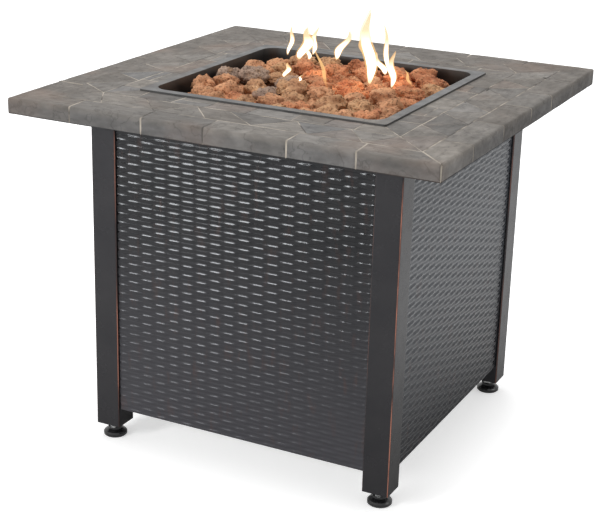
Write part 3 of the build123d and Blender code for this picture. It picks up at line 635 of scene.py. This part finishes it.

# %% [markdown]
# ## Lava rocks
# The bowl is filled with broken lava: rough lumps 40 to 75 mm long, in red, tan, yellow and grey. Near the fire the
# rocks get brighter, redder tints, painted light from the flames. Six lumps are modelled from a ball with coarse and
# fine displacement, and copies of them sit where the construction has its stones, each turned and sized for its
# place. A lower layer closes the gaps between them. A lump that would touch the bowl's wall is moved back inside it.

# %% Where the stones are
def loose_parts(node):
    """The points of each separate solid in a node of the construction."""
    guide = bpy.data.objects.new("guide", nodes[node].data.copy())
    bpy.context.scene.collection.objects.link(guide)
    edit(guide, "VERT")
    bpy.ops.mesh.select_all(action="SELECT")
    bpy.ops.mesh.remove_doubles(threshold=0.00002)
    bpy.ops.mesh.separate(type="LOOSE")
    leave()
    groups = []
    for part in list(bpy.context.selected_objects):
        groups.append([v.co.copy() for v in part.data.vertices])
        bpy.data.objects.remove(part)
    return groups


beds = []
for corners in loose_parts("lava_rocks"):
    low = Vector([min(c[i] for c in corners) for i in range(3)])
    high = Vector([max(c[i] for c in corners) for i in range(3)])
    beds.append((low, high))
beds.sort(key=lambda bed: (round(bed[0].x, 4), round(bed[0].y, 4)))
print("stones to replace:", len(beds))

# %% Six lumps
breaks = (("VORONOI_F2_F1", 0.6, 0.36), ("BLENDER_ORIGINAL", 0.32, 0.24), ("BLENDER_ORIGINAL", 0.1, 0.1))
lumps = []
for kind in range(6):
    bpy.ops.mesh.primitive_ico_sphere_add(subdivisions=4, radius=0.5, location=(3 * kind, 5, 0))
    lump = bpy.context.object
    lump.name = f"lump_{kind}"
    for basis, size, strength in breaks:
        rough = bpy.data.textures.new("lava_break", "CLOUDS")
        rough.noise_basis = basis
        rough.noise_scale = size
        finish_with(lump, "DISPLACE", texture=rough, texture_coords="GLOBAL", strength=strength, mid_level=0.5)
    lump.location = (0, 0, 0)
    settle(lump)
    lumps.append(lump)
print("lump:", triangles(lumps[0]), "triangles")


# %% Heap
bowl_wall = 0.208
fill_wall = 0.204
fill_gap = 0.022
heap_level = 0.624
bank = 0.007
fire_middle = Vector((0.03, 0.09))
fire_radius = 0.12


def lay(lump, centre, size, tint, heap):
    """Copies a lump to a place in the heap."""
    only(lump)
    bpy.ops.object.duplicate(linked=False)
    rock = bpy.context.object
    rock.rotation_euler = [random.uniform(0, 2 * math.pi) for _ in range(3)]
    settle(rock)
    rock.dimensions = size
    rock.rotation_euler = (0, 0, random.uniform(0, math.pi))
    settle(rock)
    half = rock.dimensions / 2
    room = bowl_wall - max(half.x, half.y)
    x, y = (max(-room, min(room, spot)) for spot in centre.xy)
    rock.location = (x, y, centre.z - half.z)
    settle(rock)
    heap.setdefault(tint, []).append(rock)


random.seed(11)
heap = {}
plain = ("red", "tan", "yellow", "tan", "yellow", "grey")
# Rocks near the fire pick from brighter, redder tints: painted flame light.
flame_lit_tints = ("flame_lit", "red", "flame_lit", "red", "tan")


def tints(spot):
    """The tints that a rock at this spot may have."""
    return flame_lit_tints if (spot.xy - fire_middle).length < fire_radius else plain


for low, high in beds:
    wide = max(0.042, high.x - low.x)
    size = [wide * random.uniform(*share) for share in ((1.1, 1.45), (0.95, 1.25), (0.8, 1.0))]
    top = (low + high) / 2
    top.z = max(high.z, heap_level) + random.uniform(0.0, 0.006)
    banked = top.x < -0.12 or top.y > 0.13
    top += Vector((random.uniform(-0.007, 0.007), random.uniform(-0.008, 0.008), bank if banked else 0.0))
    lay(random.choice(lumps), top, size, random.choice(tints(top)), heap)
fills = []
for low, high in beds:
    for side, step in ((0.03, 0.0), (0.016, 0.024), (-0.016, -0.024), (-0.016, 0.024)):
        top = (low + high) / 2 + Vector((side, step, 0))
        top.z = random.uniform(0.61, 0.619)
        if off_middle(top) < fill_wall and all((top - other).xy.length > fill_gap for other in fills):
            fills.append(top)
            lump = random.choice(lumps)
            size = [random.uniform(0.038, 0.052) for _ in range(3)]
            lay(lump, top, size, random.choice(tints(top)), heap)
print("heap:", len(beds), "rocks on", len(fills), "smaller ones")

# %% One piece for each tint
rocks = {}
for tint, group in heap.items():
    rocks[tint] = join(group, f"lava_{tint}")
    bpy.ops.object.shade_smooth_by_angle(angle=math.radians(60))
    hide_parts("lava_rocks")
    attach(rocks[tint], "cabinet")
    print(rocks[tint].name, len(group), "rocks,", triangles(rocks[tint]), "triangles")
for lump in lumps:
    bpy.data.objects.remove(lump)

# %% [markdown]
# ## Flames
# A gas flame is a soft tongue: narrow at the port, widest low down, and drawn out to a bent tip. It could be a cloud
# of smoke, but that does not travel with the model. So each tongue is a ring that is pulled up in steps, wider then
# narrower. Most have two skins, a pale core and a thin peach veil. The list names, for each tongue, the flame of the
# construction that it follows, where on it the foot and the tip are, each with its shift sideways in mm, the half
# width in mm, and whether it has a core.

# %% Where the flames are
fires = []
for points in loose_parts("flames"):
    points.sort(key=lambda c: c.z)
    base = [c for c in points if c.z < points[0].z + 0.0005]
    fires.append((sum(base, Vector()) / len(base), points[-1]))
fires.sort(key=lambda fire: -fire[1].z)
for foot, tip in fires:
    print("flame", [round(1000 * v) for v in foot], "to", [round(1000 * v) for v in tip])

# %% One tongue
foot_share = 0.2
outline = ((0.1, 0.5), (0.25, 0.85), (0.42, 1.0), (0.58, 0.88), (0.74, 0.6), (0.88, 0.36), (1.0, 0.08))


def tongue(name, foot, tip, radius, sway, phase):
    """Pulls a ring up into a flame from its foot to its tip, with a sideways bend."""
    bpy.ops.object.select_all(action="DESELECT")
    bpy.ops.mesh.primitive_circle_add(vertices=10, radius=foot_share * radius, fill_type="NGON", location=foot)
    flame = bpy.context.object
    flame.name = name
    settle(flame)
    edit(flame, "FACE")
    bpy.ops.mesh.select_all(action="SELECT")
    before, width = foot, foot_share
    for level, share in outline:
        bend = sway * math.sin(level * 7.0 + phase) * level * (1.25 - level)
        after = foot.lerp(tip, level) + Vector((bend, 0.4 * bend, 0))
        bpy.ops.mesh.extrude_region_move(TRANSFORM_OT_translate={"value": after - before})
        bpy.ops.transform.resize(value=(share / width, share / width, 1), center_override=after)
        before, width = after, share
    leave()
    finish_with(flame, "SUBSURF", levels=2, render_levels=2)
    rise = flame.data.attributes.new("rise", "FLOAT", "POINT")
    for v in flame.data.vertices:
        rise.data[v.index].value = (v.co.z - foot.z) / (tip.z - foot.z)
    only(flame)
    bpy.ops.object.shade_smooth()
    return flame


# %% Cores and veils
tongues = (
    (0, 0.0, -14, 1.0, 0, 14, True),
    (0, 0.3, -12, 0.65, -20, 6, False),
    (0, 0.15, 16, 0.45, 2, 9, True),
    (1, 0.0, 33, 1.0, 0, 5.5, True),
    (2, 0.3, 0, 1.0, 0, 5, True),
    (2, 0.2, 22, 0.98, 31, 13, True),
    (3, 0.35, 0, 1.0, 5, 6, True),
    (3, 0.25, -6, 0.6, -8, 5, True),
    (4, 0.42, -15, 1.0, 3, 9, True),
    (5, 0.0, 8, 1.0, 1, 3.5, False),
    (6, 0.0, 14, 1.0, 0, 7, True),
    (7, 0.0, 4, 1.0, 0, 3, False),
    (8, 0.0, -8, 1.0, 8, 6, True),
    (9, 0.0, 12, 1.0, 9, 3, True),
)
core_share = 0.74
sideways = Vector((0.000892, 0.000452, 0))
cores, veils = [], []
for number, low, low_shift, high, high_shift, half, pale in tongues:
    foot, tip = fires[number]
    start = foot.lerp(tip, low) + low_shift * sideways
    end = foot.lerp(tip, high) + high_shift * sideways
    sway, phase = 0.0012 * (half + 3), 2.1 * number + low
    veils.append(tongue("veil", start, end, half / 1000, sway, phase))
    if pale:
        inner = start.lerp(end, 0.03), start.lerp(end, 0.95)
        cores.append(tongue("core", *inner, core_share * half / 1000, sway, phase))
flames = {}
for name, group in (("flame_cores", cores), ("flame_veils", veils)):
    flames[name] = join(group, name)
    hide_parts("flames")
    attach(flames[name], "cabinet")
    print(name, triangles(flames[name]), "triangles")

# %% [markdown]
# ## Finishes
# Every finish is drawn by nodes from the piece's own coordinates, so it stays with the piece. These helpers start a
# finish, make a random grain of a given size, map it to a range, colour it and press it into the surface, and read
# single coordinates and values stored on the mesh.

# %% Helpers for finishes
def start_finish(name):
    """A new finish: its material, node tree, shader and coordinates."""
    material = bpy.data.materials.new(name)
    material.use_nodes = True
    tree = material.node_tree
    place = tree.nodes.new("ShaderNodeTexCoord")
    return material, tree, tree.nodes["Principled BSDF"], place.outputs["Object"]


def grain(tree, place, size, detail=4.0, stretch=(1, 1, 1)):
    """A random pattern with features of about this size in metres."""
    mapping = tree.nodes.new("ShaderNodeMapping")
    mapping.inputs["Scale"].default_value = stretch
    noise = tree.nodes.new("ShaderNodeTexNoise")
    noise.inputs["Scale"].default_value = 1 / size
    noise.inputs["Detail"].default_value = detail
    tree.links.new(place, mapping.inputs["Vector"])
    tree.links.new(mapping.outputs["Vector"], noise.inputs["Vector"])
    return noise.outputs["Fac"]


def spread(tree, factor, low, high, start=0.3, end=0.7):
    """Maps a pattern's start and end to low and high."""
    node = tree.nodes.new("ShaderNodeMapRange")
    for name, value in (("From Min", start), ("From Max", end), ("To Min", low), ("To Max", high)):
        node.inputs[name].default_value = value
    tree.links.new(factor, node.inputs["Value"])
    return node.outputs["Result"]


def shades(tree, factor, *stops):
    """Colours along a ramp, given as places and colours."""
    ramp = tree.nodes.new("ShaderNodeValToRGB")
    while len(ramp.color_ramp.elements) < len(stops):
        ramp.color_ramp.elements.new(1.0)
    for element, (spot, colour) in zip(ramp.color_ramp.elements, stops):
        element.position = spot
        element.color = (*colour, 1)
    tree.links.new(factor, ramp.inputs["Fac"])
    return ramp.outputs["Color"]


def blend(tree, factor, first, second, kind="MIX"):
    """Two colours mixed by a factor; either may be a plain colour."""
    node = tree.nodes.new("ShaderNodeMix")
    node.data_type = "RGBA"
    node.blend_type = kind
    for socket, value in ((node.inputs["Factor"], factor), (node.inputs[6], first), (node.inputs[7], second)):
        if isinstance(value, (float, tuple)):
            socket.default_value = value if isinstance(value, float) else (*value, 1)
        else:
            tree.links.new(value, socket)
    return node.outputs[2]


def calc(tree, kind, first, second):
    """Arithmetic on one or two values."""
    node = tree.nodes.new("ShaderNodeMath")
    node.operation = kind
    for socket, value in zip(node.inputs, (first, second)):
        if isinstance(value, (int, float)):
            socket.default_value = value
        else:
            tree.links.new(value, socket)
    return node.outputs[0]


def press(tree, shader, factor, depth):
    """Presses a pattern into the surface, depth in metres."""
    bump = tree.nodes.new("ShaderNodeBump")
    bump.inputs["Distance"].default_value = depth
    tree.links.new(factor, bump.inputs["Height"])
    tree.links.new(bump.outputs["Normal"], shader.inputs["Normal"])


def attribute(tree, name):
    """A value stored on the mesh."""
    node = tree.nodes.new("ShaderNodeAttribute")
    node.attribute_name = name
    return node.outputs["Fac"]


def axes(tree, place):
    """A place's three coordinates."""
    node = tree.nodes.new("ShaderNodeSeparateXYZ")
    tree.links.new(place, node.inputs[0])
    return node.outputs["X"], node.outputs["Y"], node.outputs["Z"]


def size_of(tree, value):
    """A value without its sign."""
    return calc(tree, "ABSOLUTE", value, 0)


def paint(piece, material):
    """Gives a piece one finish all over."""
    piece.data.materials.clear()
    piece.data.materials.append(material)


# %% [markdown]
# ### Slate
# Each stone has its own grey or brown from its number, clouded by soft stains, rust, thin veins and split grain. The
# outer walls get painted shade, a darker and cooler colour than the top, and faces without a stone are painted
# near-black as shade. Tan dust fills most of the grout, and the rest is painted dark as shadow in the joints. The
# grain also presses a fine relief into the faces.

# %% Slate finish
slate, tree, shader, place = start_finish("slate_mosaic")
shader.inputs["Specular IOR Level"].default_value = 0.25
x, y, z = axes(tree, place)
on_x_sides = calc(tree, "GREATER_THAN", size_of(tree, x), size_of(tree, y))
along_x, along_y = (grain(tree, place, 0.011, 5, stretch) for stretch in ((0.45, 1, 1), (1, 0.45, 1)))
ledges = blend(tree, on_x_sides, along_x, along_y)
# Stone shade 0 is near-black: painted shade on the band under the slab, its underside and the walls of the opening.
stone = shades(
    tree, attribute(tree, "stone_shade"), (0.0, (0.03, 0.028, 0.027)), (0.1, (0.142, 0.134, 0.126)),
    (0.3, (0.205, 0.19, 0.173)), (0.5, (0.162, 0.147, 0.132)), (0.7, (0.235, 0.215, 0.192)),
    (0.9, (0.178, 0.175, 0.172)), (1.0, (0.21, 0.175, 0.15)))
stain = spread(tree, grain(tree, place, 0.09, 3), 0.8, 1.2)
fine = spread(tree, ledges, 0.8, 1.18)
vein = size_of(tree, calc(tree, "SUBTRACT", grain(tree, place, 0.045, 7), 0.5))
fine = calc(tree, "MULTIPLY", fine, spread(tree, vein, 0.72, 1.0, 0.0, 0.018))
cloud = calc(tree, "MULTIPLY", calc(tree, "MULTIPLY", stain, fine), 0.5)
cloud = shades(tree, cloud, (0.0, (0, 0, 0)), (1.0, (2, 2, 2)))
stone = blend(tree, 1.0, stone, cloud, "MULTIPLY")
rust = spread(tree, grain(tree, place, 0.13, 5), 0.0, 0.38, 0.52, 0.75)
stone = blend(tree, rust, stone, (0.26, 0.17, 0.125))
# Painted shade: the outer walls below the top get a darker, cooler colour.
painted_wall_shade = spread(tree, z, 0.85, 0.0, 0.617, 0.627)
stone = blend(tree, painted_wall_shade, stone, blend(tree, 1.0, stone, (0.72, 0.75, 0.8), "MULTIPLY"))
# Grout colour: tan dust on most joints, while the darkest stop paints shadow into the rest.
dust_and_painted_light = shades(
    tree, grain(tree, place, 0.05, 3), (0.4, (0.085, 0.077, 0.07)), (0.5, (0.3, 0.265, 0.225)),
    (0.62, (0.46, 0.41, 0.345)))
tree.links.new(blend(tree, attribute(tree, "grout"), stone, dust_and_painted_light), shader.inputs["Base Color"])
tree.links.new(spread(tree, grain(tree, place, 0.02, 5), 0.62, 0.9), shader.inputs["Roughness"])
relief = calc(tree, "ADD", calc(tree, "MULTIPLY", ledges, 1.4), grain(tree, place, 0.006, 7))
press(tree, shader, relief, 0.0013)
paint(mantel, slate)
print("mantel finish:", slate.name)

# %% [markdown]
# ### Bronze black
# The steelwork is black with a hint of bronze, and copper shows where the coat is rubbed: along the legs' edges and
# in faint streaks on the weave. The front and back are painted lighter low down, a painted reflection of the bright
# floor, and the other sides get a painted bluish reflection higher up, where the gloss dies away towards the floor.
# On the legs the rub is found from how far a point is from both faces of the tube.

# %% Weave finish
weave_black, tree, shader, place = start_finish("bronze_black_weave")
shader.inputs["Specular Tint"].default_value = (0.93, 0.96, 1, 1)
coat = shades(tree, grain(tree, place, 0.05, 5), (0.3, (0.005, 0.0049, 0.0056)), (0.7, (0.011, 0.0102, 0.0106)))
streak = spread(tree, grain(tree, place, 0.012, 6, (1, 1, 0.25)), 0.0, 0.22, 0.58, 0.75)
x, y, z = axes(tree, place)
on_x_sides = calc(tree, "GREATER_THAN", size_of(tree, x), size_of(tree, y))
on_y_sides = calc(tree, "SUBTRACT", 1.0, on_x_sides)
# Painted reflection: the front and back are painted lighter low down, where the bright floor shows in the gloss.
dust_and_painted_light = calc(tree, "MULTIPLY", spread(tree, z, 0.85, 0.0, 0.08, 0.45), on_y_sides)
coat = blend(tree, dust_and_painted_light, coat, (0.05, 0.048, 0.055))
# Painted reflection: a bluish grey on the sides, strongest high up and fading towards the floor.
painted_side_reflection = calc(tree, "MULTIPLY", spread(tree, z, 0.15, 0.75, 0.05, 0.4), on_x_sides)
coat = blend(tree, painted_side_reflection, coat, (0.08, 0.087, 0.1))
dull = calc(tree, "MULTIPLY", spread(tree, z, 0.9, 0.28, 0.05, 0.42), on_x_sides)
tree.links.new(spread(tree, dull, 0.3, 0.02, 0.0, 1.0), shader.inputs["Specular IOR Level"])
tree.links.new(blend(tree, streak, coat, (0.1, 0.035, 0.018)), shader.inputs["Base Color"])
tree.links.new(spread(tree, grain(tree, place, 0.02, 5), 0.12, 0.19), shader.inputs["Roughness"])
press(tree, shader, grain(tree, place, 0.0025, 3), 0.00006)
for panel in panels.values():
    paint(panel, weave_black)
print("panels with a finish:", list(panels))

# %% Leg finish
leg_middle = 0.2605
outer_line = 0.27
copper = (0.47, 0.2, 0.14)
leg_black, tree, shader, place = start_finish("bronze_black_tube")
shader.inputs["Specular Tint"].default_value = (0.94, 0.94, 1, 1)
x, y, z = axes(tree, place)
far = [size_of(tree, value) for value in (x, y)]
near = [size_of(tree, calc(tree, "SUBTRACT", value, leg_middle)) for value in far]
edge = spread(tree, calc(tree, "MINIMUM", *near), 0.0, 1.0, 0.0217, 0.0226)
on_x_faces = calc(tree, "GREATER_THAN", *near)
dull = calc(tree, "MULTIPLY", spread(tree, z, 0.8, 0.0, 0.02, 0.4), on_x_faces)
tree.links.new(spread(tree, dull, 0.3, 0.02, 0.0, 1.0), shader.inputs["Specular IOR Level"])
worn = spread(tree, grain(tree, place, 0.03, 6, (1, 1, 0.3)), 0.0, 1.0, 0.38, 0.56)
patchy = spread(tree, grain(tree, place, 0.05, 6, (1, 1, 0.3)), 0.05, 0.5, 0.42, 0.6)
outer = calc(tree, "GREATER_THAN", calc(tree, "MINIMUM", *far), outer_line)
inner = calc(tree, "SUBTRACT", 1.0, outer)
handled = spread(tree, x, 0.35, 1.0, -0.3, 0.3)
knocked = spread(tree, x, 1.7, 0.8, -0.2, 0.2)
worn = calc(tree, "MULTIPLY", calc(tree, "MULTIPLY", worn, outer), handled)
patchy = calc(tree, "MULTIPLY", calc(tree, "MULTIPLY", patchy, inner), knocked)
rub = calc(tree, "MULTIPLY", edge, calc(tree, "ADD", worn, patchy))
coat = shades(tree, grain(tree, place, 0.06, 5), (0.3, (0.013, 0.0126, 0.0138)), (0.7, (0.02, 0.019, 0.0198)))
tree.links.new(blend(tree, rub, coat, copper), shader.inputs["Base Color"])
tree.links.new(rub, shader.inputs["Metallic"])
tree.links.new(spread(tree, grain(tree, place, 0.025, 5), 0.2, 0.3), shader.inputs["Roughness"])
press(tree, shader, grain(tree, place, 0.003, 3), 0.0001)
print("leg finish:", leg_black.name)

# %% [markdown]
# ### Bowl, rocks and fire
# The bowl is a satin grey sheet with heat stains, and darker below the rim. Lava is full of pores, drawn by cells
# that press the surface and paint shade into them. The flames glow by themselves: the core is pale and turns cream at
# the tip, the veil is peach and half clear, and both fade out at the foot.

# %% Bowl finish
bowl_grey, tree, shader, place = start_finish("bowl_enamel")
shader.inputs["Metallic"].default_value = 0.4
grey = shades(tree, grain(tree, place, 0.07, 5), (0.3, (0.06, 0.06, 0.06)), (0.7, (0.088, 0.087, 0.086)))
stain = spread(tree, grain(tree, place, 0.16, 4), 0.0, 0.4, 0.5, 0.75)
# Darker below the rim, towards the bottom of the bowl.
darker_below_rim = spread(tree, axes(tree, place)[2], 0.75, 0.0, 0.618, 0.629)
grey = blend(tree, darker_below_rim, blend(tree, stain, grey, (0.12, 0.09, 0.07)), (0.022, 0.02, 0.019))
tree.links.new(grey, shader.inputs["Base Color"])
tree.links.new(spread(tree, grain(tree, place, 0.03, 6), 0.3, 0.5), shader.inputs["Roughness"])
press(tree, shader, grain(tree, place, 0.002, 3), 0.00006)
print("bowl finish:", bowl_grey.name)

# %% Lava finish
def lava(name, dark, light):
    """Porous lava in one tint."""
    material, tree, shader, place = start_finish(name)
    shader.inputs["Specular IOR Level"].default_value = 0.15
    shader.inputs["Roughness"].default_value = 0.95
    cells = tree.nodes.new("ShaderNodeTexVoronoi")
    cells.inputs["Scale"].default_value = 230
    tree.links.new(place, cells.inputs["Vector"])
    pores = spread(tree, cells.outputs["Distance"], 0.0, 1.0, 0.12, 0.5)
    body = shades(tree, grain(tree, place, 0.03, 6), (0.32, dark), (0.68, light))
    crust = spread(tree, grain(tree, place, 0.012, 5), 0.0, 0.5, 0.5, 0.7)
    body = blend(tree, crust, body, (0.55, 0.33, 0.18))
    # Painted shade in the pores: the cells darken the colour towards near-black.
    painted_pore_shade = spread(tree, pores, 0.45, 0.0, 0.0, 1.0)
    tree.links.new(blend(tree, painted_pore_shade, body, (0.03, 0.016, 0.012)), shader.inputs["Base Color"])
    height = calc(tree, "ADD", calc(tree, "MULTIPLY", pores, 0.6), grain(tree, place, 0.006, 6))
    press(tree, shader, height, 0.0022)
    return material


lava_shades = {
    "flame_lit": ((0.52, 0.15, 0.065), (0.95, 0.36, 0.155)),
    "red": ((0.36, 0.135, 0.07), (0.72, 0.315, 0.16)),
    "tan": ((0.38, 0.175, 0.095), (0.72, 0.375, 0.205)),
    "yellow": ((0.36, 0.18, 0.098), (0.64, 0.375, 0.205)),
    "grey": ((0.22, 0.15, 0.115), (0.46, 0.33, 0.255)),
}
for tint, pair in lava_shades.items():
    paint(rocks[tint], lava(f"lava_{tint}", *pair))
print("rocks with a finish:", list(lava_shades))


# %% Flame finish
def flame_finish(name, colours, cover, strength):
    """Glowing gas: colour and cover follow the rise from foot to tip."""
    cover = [(spot, (value, value, value)) for spot, value in cover]
    material, tree, shader, place = start_finish(name)
    rise = attribute(tree, "rise")
    shader.inputs["Base Color"].default_value = (0, 0, 0, 1)
    shader.inputs["Specular IOR Level"].default_value = 0.0
    shader.inputs["Roughness"].default_value = 1.0
    shader.inputs["Emission Strength"].default_value = strength
    wisp = spread(tree, grain(tree, place, 0.02, 3, (1, 1, 0.25)), 0.75, 1.15)
    tree.links.new(shades(tree, rise, *colours), shader.inputs["Emission Color"])
    tree.links.new(calc(tree, "MULTIPLY", shades(tree, rise, *cover), wisp), shader.inputs["Alpha"])
    return material


core_colours = (
    (0.0, (0.7, 0.48, 0.26)), (0.2, (1, 0.93, 0.78)), (0.5, (0.8, 0.72, 0.58)), (0.75, (0.27, 0.23, 0.165)),
    (1.0, (0.25, 0.175, 0.1)))
core_cover = ((0.0, 0.1), (0.2, 0.85), (0.7, 0.85), (1.0, 0.5))
veil_colours = ((0.0, (0.9, 0.33, 0.1)), (0.3, (1, 0.62, 0.25)), (1.0, (1, 0.57, 0.24)))
veil_cover = ((0.0, 0.02), (0.25, 0.32), (0.7, 0.42), (1.0, 0.3))
paint(flames["flame_cores"], flame_finish("flame_core", core_colours, core_cover, 4.0))
paint(flames["flame_veils"], flame_finish("flame_veil", veil_colours, veil_cover, 1.3))
print("flames with a finish:", list(flames))


# %% [markdown]
# ### Fittings
# The parts behind the door and under the bowl are plated, drawn or moulded. One helper makes such a finish from its
# two shades, its roughness and the size and direction of its grain, so each still has its own marks.

# %% Fitting finishes
def fitting(name, dark, light, rough, metal=0.0, size=0.02, stretch=(1, 1, 1), depth=0.00005):
    """A plated, drawn or moulded finish."""
    material, tree, shader, place = start_finish(name)
    shader.inputs["Metallic"].default_value = metal
    pattern = grain(tree, place, size, 6, stretch)
    tree.links.new(shades(tree, pattern, (0.3, dark), (0.7, light)), shader.inputs["Base Color"])
    gloss = spread(tree, grain(tree, place, size / 3, 5, stretch), rough - 0.08, rough + 0.1)
    tree.links.new(gloss, shader.inputs["Roughness"])
    press(tree, shader, grain(tree, place, size / 8, 3, stretch), depth)
    return material


finishes = {
    "bronze_black": leg_black,
    "bowl_steel": bowl_grey,
    "zinc_steel": fitting("zinc_plate", (0.42, 0.43, 0.44), (0.62, 0.62, 0.6), 0.34, 1.0, 0.012),
    "stainless": fitting("heat_tinted_tube", (0.3, 0.25, 0.2), (0.55, 0.52, 0.48), 0.3, 1.0, 0.03),
    "brass": fitting("turned_brass", (0.5, 0.34, 0.12), (0.78, 0.56, 0.24), 0.26, 1.0, 0.006, (1, 1, 4)),
    "pipe_aluminium": fitting("drawn_aluminium", (0.55, 0.55, 0.56), (0.75, 0.75, 0.75), 0.36, 1.0, 0.01, (4, 1, 1)),
    "black_plastic": fitting(
        "moulded_black", (0.016, 0.016, 0.017), (0.032, 0.032, 0.034), 0.48, 0.0, 0.004, depth=0.0001),
    "glide_plastic": fitting("glide_gloss", (0.008, 0.008, 0.009), (0.016, 0.016, 0.017), 0.2, 0.0, 0.01),
    "button_metal": fitting("plated_button", (0.55, 0.55, 0.56), (0.75, 0.75, 0.75), 0.18, 1.0, 0.008),
    "battery_wrap": fitting("plain_sleeve", (0.09, 0.11, 0.15), (0.14, 0.16, 0.2), 0.35, 0.3, 0.01),
    "porcelain": fitting("bisque", (0.72, 0.68, 0.6), (0.86, 0.83, 0.77), 0.6, 0.0, 0.006),
    "pad_rubber": fitting("moulded_rubber", (0.018, 0.018, 0.018), (0.04, 0.04, 0.04), 0.7, 0.0, 0.004, depth=0.0001),
}
dressed = 0
for part in frame["record"]["subparts"]:
    node = nodes[part["node"]]
    if not node.hide_render and part["material_slot"] in finishes:
        paint(node, finishes[part["material_slot"]])
        dressed += 1
print("construction nodes with a finish:", dressed)
